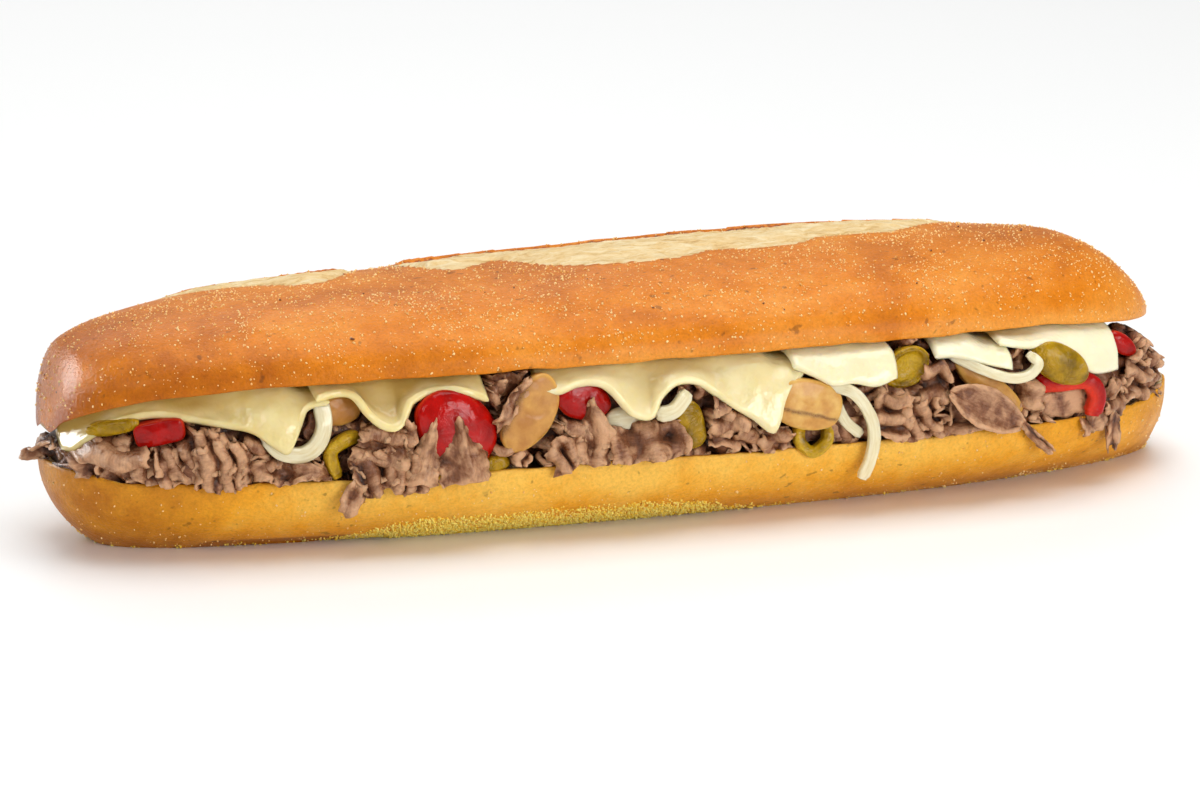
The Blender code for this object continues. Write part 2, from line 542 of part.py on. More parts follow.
def heap_core():
    """The packed middle of the steak, from the heel's cut face to the cheese."""
    left, right = HEEL_PLAN["left"] + CORE_INSET, HEEL_PLAN["right"] - CORE_INSET
    rings = []
    for i in range(1, CORE_STATIONS):
        x = left + (right - left) * (1 - math.cos(math.pi * i / CORE_STATIONS)) / 2
        half = max(1.0, half_width(x, HEEL_PLAN) - CORE_INSET)
        low = RIM_HEIGHT + CLEARANCE
        high = max(low + 2.5, min(cheese_top(x) + CHEESE_THICKNESS / 2, along(HEAP_ROOF, x)))
        ring = []
        for k in range(CORE_POINTS):
            turn = 2 * math.pi * k / CORE_POINTS
            y = half * signed_power(math.cos(turn), 0.55)
            z = (low + high) / 2 + (high - low) / 2 * signed_power(math.sin(turn), 0.55)
            bump = CORE_BUMP * noise.noise(Vector((x, y, z)) * 0.13)
            ring.append((x, y + bump * math.cos(turn) * 1.5, z))
        rings.append(ring)
    points = [p for ring in rings for p in ring]
    faces = [tuple(range(CORE_POINTS))]
    for level in range(len(rings) - 1):
        for k in range(CORE_POINTS):
            m = (k + 1) % CORE_POINTS
            faces.append((level * CORE_POINTS + k, level * CORE_POINTS + m,
                          (level + 1) * CORE_POINTS + m, (level + 1) * CORE_POINTS + k))
    faces.append(tuple((len(rings) - 1) * CORE_POINTS + k for k in range(CORE_POINTS)))
    return add_object("steak", points, faces, "steak")


def shaved_slice(name, item, seed):
    """One crumpled slice: a thin sheet with folds along it and a torn outline."""
    rows, columns = 4, 3
    length, height = item["size"]
    grid = []
    for i in range(rows):
        u = i / (rows - 1) - 0.5
        row = []
        for j in range(columns):
            v = j / (columns - 1) - 0.5
            torn = 1 + 0.22 * noise.noise(Vector((u * 3, v * 3, seed * 7.3)))
            fold = item["fold"] * math.sin(u * 7.5 + seed * 2.1 + v * 2)
            row.append((u * length * torn, v * height * torn * (1 - 0.9 * u * u), fold))
        grid.append([Vector(p) for p in placed(row, item)])
    points, faces = sheet_solid(grid, SLICE_THICKNESS)
    return add_object(name, points, faces, "steak")


def scattered_slices():
    """Where the other slices show, by a rule: three rows round the heap, each slice turned its own way."""
    rng = random.Random(11)
    items = []
    for far in (False, True):
        for row, height in enumerate((23.5, 29.5, 35.0)):
            x = -136.0 + 5 * row
            while x < 142 and height + 3 < along(HEAP_ROOF, x):
                items.append({
                    "at": (x, height + rng.uniform(-1.2, 1.2)),
                    "out": rng.uniform(-4.0, -1.6) - (0.8 if row == 2 else 0.0),
                    "size": (rng.uniform(14, 21), rng.uniform(9, 12)),
                    "turn": rng.uniform(-75, 75),
                    "lean": rng.uniform(-35, 35),
                    "swing": rng.uniform(-50, 50),
                    "fold": rng.uniform(0.8, 1.8),
                    "far": far,
                })
                x += rng.uniform(17, 23)
    return items


def fuse(body, pieces):
    """Joins closed pieces into one body, applies the union and removes the pieces."""
    group = bpy.data.collections.new("fused")
    bpy.context.scene.collection.children.link(group)
    for piece in pieces:
        bpy.context.scene.collection.objects.unlink(piece)
        group.objects.link(piece)
    union = body.modifiers.new("fuse", "BOOLEAN")
    union.operation = "UNION"
    union.operand_type = "COLLECTION"
    union.collection = group
    union.solver = "MANIFOLD"
    apply_modifiers(body)
    for piece in pieces:
        bpy.data.objects.remove(piece, do_unlink=True)
    bpy.data.collections.remove(group)


def lighten(body, faces):
    """Collapses the least needed edges until about the given number of triangles is left."""
    if len(body.data.polygons) <= faces:
        return
    fewer = body.modifiers.new("fewer", "DECIMATE")
    fewer.ratio = faces / len(body.data.polygons)
    apply_modifiers(body)


def apply_modifiers(body):
    """Bakes the modifiers into the mesh and keeps only its largest connected body."""
    graph = bpy.context.evaluated_depsgraph_get()
    baked = bpy.data.meshes.new_from_object(body.evaluated_get(graph))
    body.modifiers.clear()
    body.data = baked
    shape = bmesh.new()
    shape.from_mesh(baked)
    bmesh.ops.triangulate(shape, faces=shape.faces)
    groups = connected_groups(shape)
    if len(groups) > 1:
        keep = max(groups, key=group_volume)
        loose = [v for group in groups if group is not keep for v in group]
        bmesh.ops.delete(shape, geom=loose, context="VERTS")
    shape.to_mesh(baked)
    shape.free()


def connected_groups(shape):
    """The vertices of each separate body of a mesh."""
    left = set(shape.verts)
    groups = []
    while left:
        group, border = set(), [left.pop()]
        while border:
            vertex = border.pop()
            group.add(vertex)
            for edge in vertex.link_edges:
                other = edge.other_vert(vertex)
                if other in left:
                    left.remove(other)
                    border.append(other)
        groups.append(group)
    return groups


def group_volume(group):
    """The volume of the box round a body, used to find the largest one."""
    spans = [max(v.co[axis] for v in group) - min(v.co[axis] for v in group) for axis in range(3)]
    return spans[0] * spans[1] * spans[2]


def boxes_meet(a, b, margin):
    """Whether the boxes round two objects come closer than the margin, in millimetres."""
    for axis in range(3):
        span_a = [v.co[axis] / MM for v in a.data.vertices]
        span_b = [v.co[axis] / MM for v in b.data.vertices]
        if min(span_a) > max(span_b) + margin or min(span_b) > max(span_a) + margin:
            return False
    return True


def swollen_copy(source):
    """A copy that stands out by the clearance that neighbours keep, used only as a cutter."""
    mesh = source.data.copy()
    shape = bmesh.new()
    shape.from_mesh(mesh)
    shape.normal_update()
    moves = [(v, v.normal * CLEARANCE * MM * v.calc_shell_factor()) for v in shape.verts]
    for vertex, move in moves:
        vertex.co += move
    shape.to_mesh(mesh)
    shape.free()
    cutter = bpy.data.objects.new("cutter", mesh)
    cutter.hide_render = True
    cutter.display_type = "WIRE"
    bpy.context.scene.collection.objects.link(cutter)
    return cutter


def make_room(body, neighbours):
    """Cuts from a body the room that its neighbours take, with a small clearance."""
    for neighbour in neighbours:
        if not boxes_meet(body, neighbour, CLEARANCE):
            continue
        cutter = swollen_copy(neighbour)
        cut = body.modifiers.new("room", "BOOLEAN")
        cut.operation = "DIFFERENCE"
        cut.object = cutter
        cut.solver = "MANIFOLD"
        apply_modifiers(body)
        bpy.data.objects.remove(cutter, do_unlink=True)


def make_topping(name, kind, item):
    return band(name, kind, item) if "route" in item else slab(name, kind, item)


def make_steak():
    """The heap of shaved steak, its slices fused to the core."""
    steak = heap_core()
    items = HANGING_SLICES + scattered_slices()
    slices = [shaved_slice(f"slice_{i}", item, i) for i, item in enumerate(items)]
    fuse(steak, slices)
    lighten(steak, HEAP_FACES)
    return steak


def main():
    clear_scene()
    placed_first = [make_heel(), make_crown()]
    toppings = []
    for kind, items in (("red_pepper", RED_PEPPERS), ("green_pepper", GREEN_PEPPERS),
                        ("onion", ONIONS), ("mushroom", MUSHROOMS)):
        toppings += [make_topping(f"{kind}_{i + 1}", kind, item) for i, item in enumerate(items)]
    cheeses = [make_cheese(i + 1, cheese) for i, cheese in enumerate(CHEESE_SLICES)]
    for piece in toppings + cheeses + [make_steak()]:
        make_room(piece, placed_first)
        lighten(piece, MOST_FACES.get(piece.data.materials[0].name, 90))
        placed_first.append(piece)


main()
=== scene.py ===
# %% [markdown]
# A steak and cheese submarine sandwich, dressed around its solids.
# The frame holds the solids of the roll and its filling. They are exact in size but plain, so this
# lesson replaces each of them with a finer mesh of the same form and gives it a finish. Everything is
# in one frame: X along the roll, -Y towards the shown side, Z up. Sizes are written in millimetres.

# %% Load the frame
import math
import random

import bmesh
import bpy
import numpy as np
from mathutils import Euler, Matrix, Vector, noise


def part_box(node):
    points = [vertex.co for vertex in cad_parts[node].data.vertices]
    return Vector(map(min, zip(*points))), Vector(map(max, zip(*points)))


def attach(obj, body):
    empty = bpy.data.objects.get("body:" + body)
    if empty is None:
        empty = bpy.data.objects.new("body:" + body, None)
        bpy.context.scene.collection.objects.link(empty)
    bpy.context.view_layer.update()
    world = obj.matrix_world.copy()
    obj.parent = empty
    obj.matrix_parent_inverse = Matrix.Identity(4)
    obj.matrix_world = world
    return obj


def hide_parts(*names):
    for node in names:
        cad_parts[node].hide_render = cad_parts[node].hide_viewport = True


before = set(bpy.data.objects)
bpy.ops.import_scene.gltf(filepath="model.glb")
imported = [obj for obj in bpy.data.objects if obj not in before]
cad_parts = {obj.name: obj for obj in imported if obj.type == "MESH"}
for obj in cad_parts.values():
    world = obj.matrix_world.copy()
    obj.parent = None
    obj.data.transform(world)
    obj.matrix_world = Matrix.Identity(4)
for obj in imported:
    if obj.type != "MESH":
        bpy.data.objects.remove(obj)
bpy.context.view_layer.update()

MM = 0.001

# %% [markdown]
# The camera comes first, because it decides how everything is judged. The picture was taken with a
# long lens from a low, slightly turned angle, so a 150 mm lens stands 1.3 m away, 14 degrees above
# the table and 20 degrees to the left of square. A look-at rotation would also do, but three axis
# vectors show plainly which way the camera faces.

# %% Camera
AZIMUTH, ELEVATION = math.radians(-20.0), math.radians(14.0)
DISTANCE = 1.29
MIDDLE = Vector((-5.0, 0.0, 28.0)) * MM
SHIFT_RIGHT, SHIFT_UP = 0.77 * MM, -3.1 * MM

towards = Vector((math.sin(AZIMUTH) * math.cos(ELEVATION), -math.cos(AZIMUTH) * math.cos(ELEVATION),
                  math.sin(ELEVATION)))
right = Vector((math.cos(AZIMUTH), math.sin(AZIMUTH), 0.0))
up = towards.cross(right)
lens = bpy.data.cameras.new("camera")
lens.lens = 150.0
lens.sensor_width = 36.0
lens.clip_end = 20.0
camera = bpy.data.objects.new("camera", lens)
camera.location = MIDDLE + right * SHIFT_RIGHT + up * SHIFT_UP + towards * DISTANCE
camera.rotation_euler = towards.to_track_quat("Z", "Y").to_euler()
bpy.context.scene.collection.objects.link(camera)
bpy.context.scene.camera = camera
print("camera at", [round(v, 3) for v in camera.location])

# %% [markdown]
# The roll lies on a plain white table under soft studio light. A wide box of light overhead gives the
# soft shadow, one at the left end draws the bright patch on the roll's nose, one at the front fills the
# shadows and one behind keeps the far table white. Area lights are used, because their size sets how
# soft the shadows are.

# %% Table and light


def area_light(name, power, size, place, aim, colour=(1.0, 1.0, 1.0)):
    """A square soft box at a place in metres, turned to face its aim."""
    glow = bpy.data.lights.new(name, "AREA")
    glow.energy = power
    glow.size = size
    glow.color = colour
    box = bpy.data.objects.new(name, glow)
    box.location = place
    box.rotation_euler = (Vector(place) - Vector(aim)).to_track_quat("Z", "Y").to_euler()
    bpy.context.scene.collection.objects.link(box)
    return box


area_light("overhead_box", 26.5, 1.5, (0.2, 0.05, 1.7), (0.0, 0.05, 0.0))
area_light("back_box", 26.0, 2.2, (0.0, 2.4, 1.6), (0.0, 2.4, 0.0))
area_light("left_box", 1.6, 0.3, (-0.75, -0.62, 0.62), (-0.05, 0.0, 0.04), (1.0, 0.98, 0.95))
area_light("front_box", 12.5, 0.7, (0.6, -1.5, 0.42), (0.0, 0.0, 0.03))
nose_box = area_light("nose_box", 36.0, 0.66, (-1.0, 0.56, 0.44), (-0.14, 0.0, 0.05))
nose_box.visible_diffuse = False

world = bpy.data.worlds.new("studio")
world.use_nodes = True
world.node_tree.nodes["Background"].inputs["Color"].default_value = (1.0, 1.0, 1.0, 1.0)
world.node_tree.nodes["Background"].inputs["Strength"].default_value = 0.24
bpy.context.scene.world = world
bpy.context.scene.view_settings.view_transform = "Standard"

table_mesh = bpy.data.meshes.new("table")
table_mesh.from_pydata([(-4, -3, 0), (4, -3, 0), (4, 7, 0), (-4, 7, 0)], [], [(0, 1, 2, 3)])
table = bpy.data.objects.new("table", table_mesh)
bpy.context.scene.collection.objects.link(table)
table_finish = bpy.data.materials.new("white table")
table_finish.use_nodes = True
table_shader = table_finish.node_tree.nodes["Principled BSDF"]
table_shader.inputs["Base Color"].default_value = (0.965, 0.97, 0.965, 1.0)
table_shader.inputs["Roughness"].default_value = 0.38
table_mesh.materials.append(table_finish)
print("lights:", [light.name for light in bpy.data.lights])

# %% [markdown]
# Every form below starts from the few sizes of the real roll: the outline of each half seen from
# above, the line where the roll was cut, and the ridge along its top. Reading a smooth curve through
# a few measured points keeps the shapes easy to change.

# %% Sizes of the roll and curves through points
HEEL_PLAN = {"left": -152.0, "right": 153.0, "widest": 60.0, "half": 45.0, "powers": (2.5, 2.4)}
BASE_PLAN = {"left": -139.0, "right": 151.5, "widest": 40.0, "half": 27.0, "powers": (2.3, 2.0)}
CROWN_PLAN = {"left": -151.5, "right": 146.5, "widest": 50.0, "half": 43.5, "powers": (3.0, 2.6)}
RIM_HEIGHT = 19.5
RIM_DIP = 3.0
LEFT_RISE = 3.2
RIGHT_RISE = 1.6
CUT_LINE = [(-151.5, 30), (-149.5, 34.5), (-143, 38.4), (-134, 41), (-124, 43), (-110, 44.2), (-90, 45),
            (78, 45.1), (102, 44.7), (121, 42.9), (146.5, 39.6)]
RIDGE_LINE = [(-151.5, 46.5), (-146, 51.2), (-138, 54.2), (-128, 56.2), (-115, 58), (-100, 59.4),
              (-50, 61), (0, 62.6), (60, 63.2), (80, 62.6), (100, 61.4), (115, 60.4), (126, 58.8),
              (134, 55), (141, 49), (146.5, 44)]
print("roll:", HEEL_PLAN["right"] - HEEL_PLAN["left"], "mm long and", 2 * HEEL_PLAN["half"], "mm wide")


def along(line, x):
    """The value at x on a smooth line through (x, value) points, level past its ends."""
    if x <= line[0][0]:
        return line[0][1]
    for i in range(len(line) - 1):
        (x0, v0), (x1, v1) = line[i], line[i + 1]
        if x <= x1:
            before = line[max(i - 1, 0)]
            after = line[min(i + 2, len(line) - 1)]
            rise_in = (v1 - before[1]) / (x1 - before[0])
            rise_out = (after[1] - v0) / (after[0] - x0)
            t, span = (x - x0) / (x1 - x0), x1 - x0
            return ((1 + 2 * t) * (1 - t) ** 2 * v0 + t * (1 - t) ** 2 * span * rise_in
                    + t * t * (3 - 2 * t) * v1 + t * t * (t - 1) * span * rise_out)
    return line[-1][1]


def half_width(x, plan):
    """Half the width of an outline at x: two rounded ends that meet at the widest place."""
    left_side = x < plan["widest"]
    reach = plan["widest"] - plan["left"] if left_side else plan["right"] - plan["widest"]
    power = plan["powers"][0 if left_side else 1]
    share = min(1.0, abs(x - plan["widest"]) / reach)
    return plan["half"] * (1 - share ** power) ** (1 / power)


def signed_power(value, power):
    return math.copysign(abs(value) ** power, value)


def smoothstep(low, high, value):
    share = min(1.0, max(0.0, (value - low) / (high - low)))
    return share * share * (3 - 2 * share)


def mix(a, b, share):
    return a + (b - a) * share


def rim_height(x):
    """Height of the rim of the lower half, which rises towards both ends."""
    left_rise = LEFT_RISE * (1 - smoothstep(-152, -134, x))
    return RIM_HEIGHT + left_rise + RIGHT_RISE * smoothstep(132, 152, x)


def bumps(x, y, z, scale, seed=0.0):
    """Smooth noise between about -1 and 1 whose lumps are about 1 / scale millimetres wide."""
    return noise.noise(Vector((x * scale + seed, y * scale - seed * 0.7, z * scale + seed * 0.3)))


def filling_half(x):
    """Half the width of the filling at x, no wider than either half of the roll."""
    return min(half_width(x, HEEL_PLAN), half_width(x, CROWN_PLAN) + 1.5)


# %% [markdown]
# All pieces are made alike: points in millimetres, faces between them, and a few painted values that
# the finishes read, such as how crumbly or how brown a spot is. A painted value on each point follows
# the form exactly, where a texture seen from outside would slide over it.

# %% One way to make a piece


def make_piece(name, points, faces, finish, nodes=(), paint=None):
    """A smooth piece from points in millimetres; paint holds named values, one for each point."""
    mesh = bpy.data.meshes.new(name)
    mesh.from_pydata([(p[0] * MM, p[1] * MM, p[2] * MM) for p in points], [], faces)
    mesh.validate()
    shape = bmesh.new()
    shape.from_mesh(mesh)
    bmesh.ops.recalc_face_normals(shape, faces=shape.faces)
    shape.to_mesh(mesh)
    shape.free()
    mesh.shade_smooth()
    for key, values in (paint or {}).items():
        painted = mesh.attributes.new(key, "FLOAT", "POINT")
        painted.data.foreach_set("value", np.array(values, dtype=np.float32))
    mesh.materials.append(finish)
    piece = bpy.data.objects.new(name, mesh)
    bpy.context.scene.collection.objects.link(piece)
    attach(piece, "root")
    if nodes:
        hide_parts(*nodes)
    print(name, "has", sum(len(f) - 2 for f in faces), "triangles")
    return piece


def ring_faces(first, levels, count):
    """Faces between rings of points that follow one another from the first index on."""
    return [(first + k * count + i, first + k * count + (i + 1) % count,
             first + (k + 1) * count + (i + 1) % count, first + (k + 1) * count + i)
            for k in range(levels - 1) for i in range(count)]


def fan_faces(first, count, tip, turned=False):
    """Faces that close a ring to a tip point."""
    pairs = [(first + i, first + (i + 1) % count) for i in range(count)]
    return [(b, a, tip) if turned else (a, b, tip) for a, b in pairs]


# %% [markdown]
# A finish is a chain of nodes. Small helpers keep each recipe short: one adds a node and joins its
# inputs, one reads a painted value, and one makes noise in the piece's own space, which stays with
# the food when it moves.

# %% Helpers for finishes


class Recipe:
    """A new material with its shader, and short calls to add and join nodes."""

    def __init__(self, name):
        self.material = bpy.data.materials.new(name)
        self.material.use_nodes = True
        self.tree = self.material.node_tree
        self.shader = self.tree.nodes["Principled BSDF"]
        self.place = self.add("ShaderNodeTexCoord").outputs["Object"]

    def add(self, kind, **settings):
        node = self.tree.nodes.new(kind)
        for key, value in settings.items():
            setattr(node, key, value)
        return node

    def join(self, source, node, socket):
        if hasattr(source, "links"):
            self.tree.links.new(source, node.inputs[socket])
        else:
            node.inputs[socket].default_value = source
        return node

    def painted(self, key):
        return self.add("ShaderNodeAttribute", attribute_name=key).outputs["Fac"]

    def stretched(self, scale):
        """The piece's own space, stretched by three factors."""
        mapping = self.add("ShaderNodeMapping")
        self.join(self.place, mapping, "Vector")
        mapping.inputs["Scale"].default_value = scale
        return mapping.outputs["Vector"]

    def grain(self, lump_mm, detail=3.0, place=None, rough=0.55, warp=0.0):
        """Noise with lumps about as wide as stated, in millimetres."""
        node = self.add("ShaderNodeTexNoise")
        self.join(place or self.place, node, "Vector")
        node.inputs["Scale"].default_value = 1.0 / (lump_mm * MM)
        node.inputs["Detail"].default_value = detail
        node.inputs["Roughness"].default_value = rough
        node.inputs["Distortion"].default_value = warp
        return node.outputs["Fac"]

    def ramp(self, value, *stops):
        """Colours or grey values at places along 0 to 1."""
        node = self.add("ShaderNodeValToRGB")
        self.join(value, node, "Fac")
        marks = node.color_ramp.elements
        for i, (place, colour) in enumerate(stops):
            mark = marks[i] if i < 2 else marks.new(place)
            mark.position = place
            tone = colour if isinstance(colour, tuple) else (colour,) * 3
            mark.color = (*tone, 1.0)
        return node.outputs["Color"]

    def blend(self, share, first, second, how="MIX"):
        node = self.add("ShaderNodeMix", data_type="RGBA", blend_type=how)
        self.join(share, node, 0)
        for value, socket in ((first, 6), (second, 7)):
            self.join((*value, 1.0) if isinstance(value, tuple) else value, node, socket)
        return node.outputs[2]

    def sum_up(self, how, first, second):
        node = self.add("ShaderNodeMath", operation=how)
        self.join(first, node, 0)
        self.join(second, node, 1)
        return node.outputs[0]

    def spread(self, value, low, high, to_low, to_high):
        node = self.add("ShaderNodeMapRange")
        for socket, setting in (("Value", value), ("From Min", low), ("From Max", high),
                                ("To Min", to_low), ("To Max", to_high)):
            self.join(setting, node, socket)
        return node.outputs["Result"]

    def axis(self, name):
        node = self.add("ShaderNodeSeparateXYZ")
        self.join(self.place, node, "Vector")
        return node.outputs[name]

    def relief(self, height, depth_mm, before=None):
        """Small relief of the stated depth; before is relief that it adds to."""
        node = self.add("ShaderNodeBump")
        self.join(height, node, "Height")
        node.inputs["Distance"].default_value = depth_mm * MM
        if before is not None:
            self.join(before, node, "Normal")
        return node.outputs["Normal"]

    def finish(self, colour, roughness, normal=None, **even):
        """Joins the colour, roughness and relief, and sets even values on the shader's own sockets."""
        self.join((*colour, 1.0) if isinstance(colour, tuple) else colour, self.shader, "Base Color")
        self.join(roughness, self.shader, "Roughness")
        if normal is not None:
            self.join(normal, self.shader, "Normal")
        for key, value in even.items():
            self.shader.inputs[key.replace("_", " ")].default_value = value
        return self.material


# %% [markdown]
# The crust is baked bread: golden where the heat was mild, deep amber where it was strong, and pale
# cream where the baker's cuts opened and crumb shows. A photograph wrapped round the roll would give
# this too, but noise needs no picture and has no seam. Two sizes of it give the uneven browning. A
# painted value called crumb says where the crust ends, one called bake makes the crust darker at the
# ends, low on the flanks and on top, and paler along the cut, and one called shine makes the nose of
# the roll a little glossier.

# %% Finishes of the roll


def crust_finish(name, pale, golden, amber, gloss):
    r = Recipe(name)
    patches = r.grain(34.0, 3.0, warp=0.6)
    mottle = r.grain(4.5, 4.0)
    browning = r.sum_up("ADD", r.sum_up("MULTIPLY", patches, 0.85), r.sum_up("MULTIPLY", mottle, 0.32))
    browning = r.sum_up("ADD", browning, r.painted("bake"))
    crust = r.ramp(browning, (0.34, pale), (0.62, golden), (0.96, amber))
    fine = r.grain(0.8, 4.0, rough=0.7)
    crust = r.blend(0.55, crust, r.ramp(fine, (0.32, 0.62), (0.60, 1.0)), "MULTIPLY")
    freckles = r.ramp(r.grain(2.6, 2.0, rough=0.3), (0.70, 1.0), (0.76, 0.45))
    crust = r.blend(0.8, crust, freckles, "MULTIPLY")
    streaks = r.grain(3.0, 5.0, r.stretched((0.35, 1.0, 1.0)), 0.65, 1.2)
    crumb = r.ramp(streaks, (0.28, (0.46, 0.25, 0.08)), (0.42, (0.72, 0.50, 0.22)),
                   (0.62, (0.82, 0.67, 0.40)))
    ragged = r.sum_up("ADD", r.painted("crumb"), r.spread(r.grain(1.6, 4.0), 0.3, 0.7, -0.22, 0.22))
    is_crumb = r.spread(ragged, 0.42, 0.58, 0.0, 1.0)
    toasted = r.ramp(ragged, (0.16, 1.0), (0.34, (0.62, 0.40, 0.26)))
    crust = r.blend(1.0, crust, toasted, "MULTIPLY")
    colour = r.blend(is_crumb, crust, crumb)
    dimples = r.relief(r.grain(1.8, 3.0), 0.30)
    pores = r.relief(r.grain(0.8, 4.0), 0.26, dimples)
    wrinkles = r.relief(r.sum_up("MULTIPLY", streaks, is_crumb), 0.9, pores)
    satin = r.spread(mottle, 0.3, 0.7, gloss - 0.04, gloss + 0.08)
    satin = r.sum_up("SUBTRACT", satin, r.sum_up("MULTIPLY", r.painted("shine"), 0.07))
    rough = r.spread(is_crumb, 0.0, 1.0, satin, 0.85)
    return r.finish(colour, rough, wrinkles, IOR=1.4, Specular_IOR_Level=0.2,
                    Coat_Weight=0.06, Coat_Roughness=0.2)


crown_crust = crust_finish("upper crust", pale=(0.84, 0.33, 0.045), golden=(0.70, 0.205, 0.006),
                           amber=(0.38, 0.085, 0.002), gloss=0.34)
heel_crust = crust_finish("lower crust", pale=(0.92, 0.53, 0.085), golden=(0.84, 0.37, 0.020),
                          amber=(0.48, 0.16, 0.006), gloss=0.42)
print("finishes:", crown_crust.name, "and", heel_crust.name)

# %% [markdown]
# Before baking, the baker scored the top of the roll twice, and in the oven the two cuts opened. They
# could be carved with a boolean, but a cut in bread has no clean walls, so they are relief instead:
# crumb swells out between two lips, the front lip steps down, and the back one stands up as a thin
# ear. Each cut is given by the line of its front lip and the line of its back one, as y at x.

# %% The baker's cuts along the top
SCORES = [
    {"front": [(-119, 22), (-101, 15), (-90.5, 10.5), (-82.5, 5.5), (-77, 6), (-71, 11.5), (-64, 21)],
     "back": [(-119, 23), (-105, 25.5), (-90, 27), (-75, 26), (-64, 22)]},
    {"front": [(-54, 20), (-48.5, 11), (-46, 6.5), (-40.5, 4), (-34.5, 7), (-28.5, 8.5), (-24, 3.5),
               (-18, -3), (-12, -6.5), (-5.5, -8.5), (3, -9.5), (10.5, -9), (18.5, -7), (24.5, -4),
               (35.5, -5), (47.5, -5), (56, 0.5), (62, 1.5), (70.5, 1), (78.5, 2), (90.5, 10.5),
               (104, 20.5)],
     "back": [(-54, 21), (-40, 24.5), (-15, 27), (10, 28), (40, 27), (70, 26), (90, 24), (104, 21.5)]},
]
SCORE_STEP = 1.3
SCORE_SWELL = 2.4
SCORE_EAR = 1.5
SCORE_LIP = 4.5
EAR_WIDTH = 6
print("baker's cuts:", len(SCORES))


def score_at(x, y):
    """The relief of the cuts at x, y, and how much crumb shows there."""
    for score in SCORES:
        first, last = score["front"][0][0], score["front"][-1][0]
        if not first < x < last:
            continue
        front = along(score["front"], x) + 0.35 * bumps(x, 0, 0, 0.3)
        back = along(score["back"], x) + 0.7 * bumps(x, 9, 0, 0.12)
        width = max(0.5, back - front)
        share = (y - front) / width
        open_here = smoothstep(0.5, 9.0, width)
        if 0 < share < 1:
            edge = min(1.0, min(y - front, back - y) / 0.8)
            wrinkle = 0.45 * bumps(x * 0.6, y * 2.2, 0, 0.16) + 0.3 * bumps(x, y, 0, 0.5, 3.0)
            wrinkle += 0.14 * bumps(x, y, 0, 1.3, 6.0)
            swell = (SCORE_SWELL * math.sin(math.pi * share) - SCORE_STEP + wrinkle) * open_here
            return swell * edge, min(1.0, min(y - front, back - y) / 0.5)
        if -SCORE_LIP < y - front <= 0:
            return 0.35 * open_here * (1 + (y - front) / SCORE_LIP), 0.0
        if 0 <= y - back < EAR_WIDTH:
            return SCORE_EAR * open_here * (1 - (y - back) / EAR_WIDTH) ** 1.5, 0.0
    return 0.0, 0.0


# %% [markdown]
# The upper half of the roll is a dome. Its section is a rounded arch over a flat cut face, and it is
# swept along the roll. Lofting rings is better here than sculpting a sphere, because the cut line and
# the ridge are known at every place. The rings shrink over the last few millimetres at both ends, so
# that the noses are round, and each point also gets its painted values from where it lies.

# %% The upper half of the roll
CROWN_ROUNDNESS = 2.3
NOSE = 7.0
CROWN_STATIONS = 430
ARCH_POINTS = 128
UNDER_POINTS = 30


def crown_ring(x):
    """The points of the upper half at x with their crumb and bake values."""
    half = half_width(x, CROWN_PLAN)
    end = min(x - CROWN_PLAN["left"], CROWN_PLAN["right"] - x)
    close = 1.0 if end >= NOSE else math.sqrt(max(0.0, 1 - (1 - end / NOSE) ** 2))
    low, high = along(CUT_LINE, x), along(RIDGE_LINE, x)
    high = low + (high - low) * close
    ring, crumbs, bakes = [], [], []
    for i in range(ARCH_POINTS + 1):
        turn = math.pi * i / ARCH_POINTS
        c, s = math.cos(turn), abs(math.sin(turn))
        y = -half * signed_power(c, 2 / CROWN_ROUNDNESS)
        z = low + (high - low) * s ** (2 / CROWN_ROUNDNESS)
        relief, crumb = score_at(x, y)
        swell = 0.6 * bumps(x, y, z, 0.022, 5.0) + 0.14 * bumps(x, y, z, 0.09)
        swell += 0.05 * bumps(x, y, z, 0.5)
        near_edge = min(1.0, s * 6)
        lift = relief * close + swell * near_edge
        edge_wave = (1 - near_edge) * 0.5 * bumps(x, 0, 0, 0.11, 9.0)
        tip_sag = 1.4 * (1 - smoothstep(-151.0, -146.5, x)) * smoothstep(-6, 7, y)
        edge_wave -= tip_sag * (1 - smoothstep(0.0, 0.8, s))
        ring.append((x, y - c * swell * 0.4 * near_edge, z + lift * (0.35 + 0.65 * s) + edge_wave))
        crumbs.append(crumb)
        left_end = 0.20 * (1 - smoothstep(-150, -90, x))
        low_left = 0.22 * (1 - smoothstep(-120, -40, x)) * (1 - smoothstep(0.15, 0.85, s))
        right_glow = 0.036 * smoothstep(60, 110, x) * (1 - smoothstep(0.1, 0.6, s))
        rim_pale = 0.16 * (1 - smoothstep(0.0, 0.22, s)) * smoothstep(-90, 20, x)
        top_brown = 0.07 * smoothstep(0.5, 0.95, s)
        bakes.append(left_end + low_left + top_brown - rim_pale - right_glow)
    for i in range(1, UNDER_POINTS):
        y = half * (1 - 2 * i / UNDER_POINTS)
        inset = min(1.0, min(i, UNDER_POINTS - i) / 2)
        dent = 0.35 * bumps(x, y, 0, 0.2, 2.0) + 0.25 * bumps(x, y, 0, 0.7, 4.0)
        ring.append((x, y, low + (0.3 + abs(dent)) * inset * close))
        crumbs.append(1.0)
        bakes.append(0.0)
    return ring, crumbs, bakes


def spaced(left, right, count):
    """Places along the roll, closer together at its two ends."""
    places = []
    for i in range(1, count):
        t = i / count
        places.append(mix(left, right, mix(t, (1 - math.cos(math.pi * t)) / 2, 0.75)))
    return places


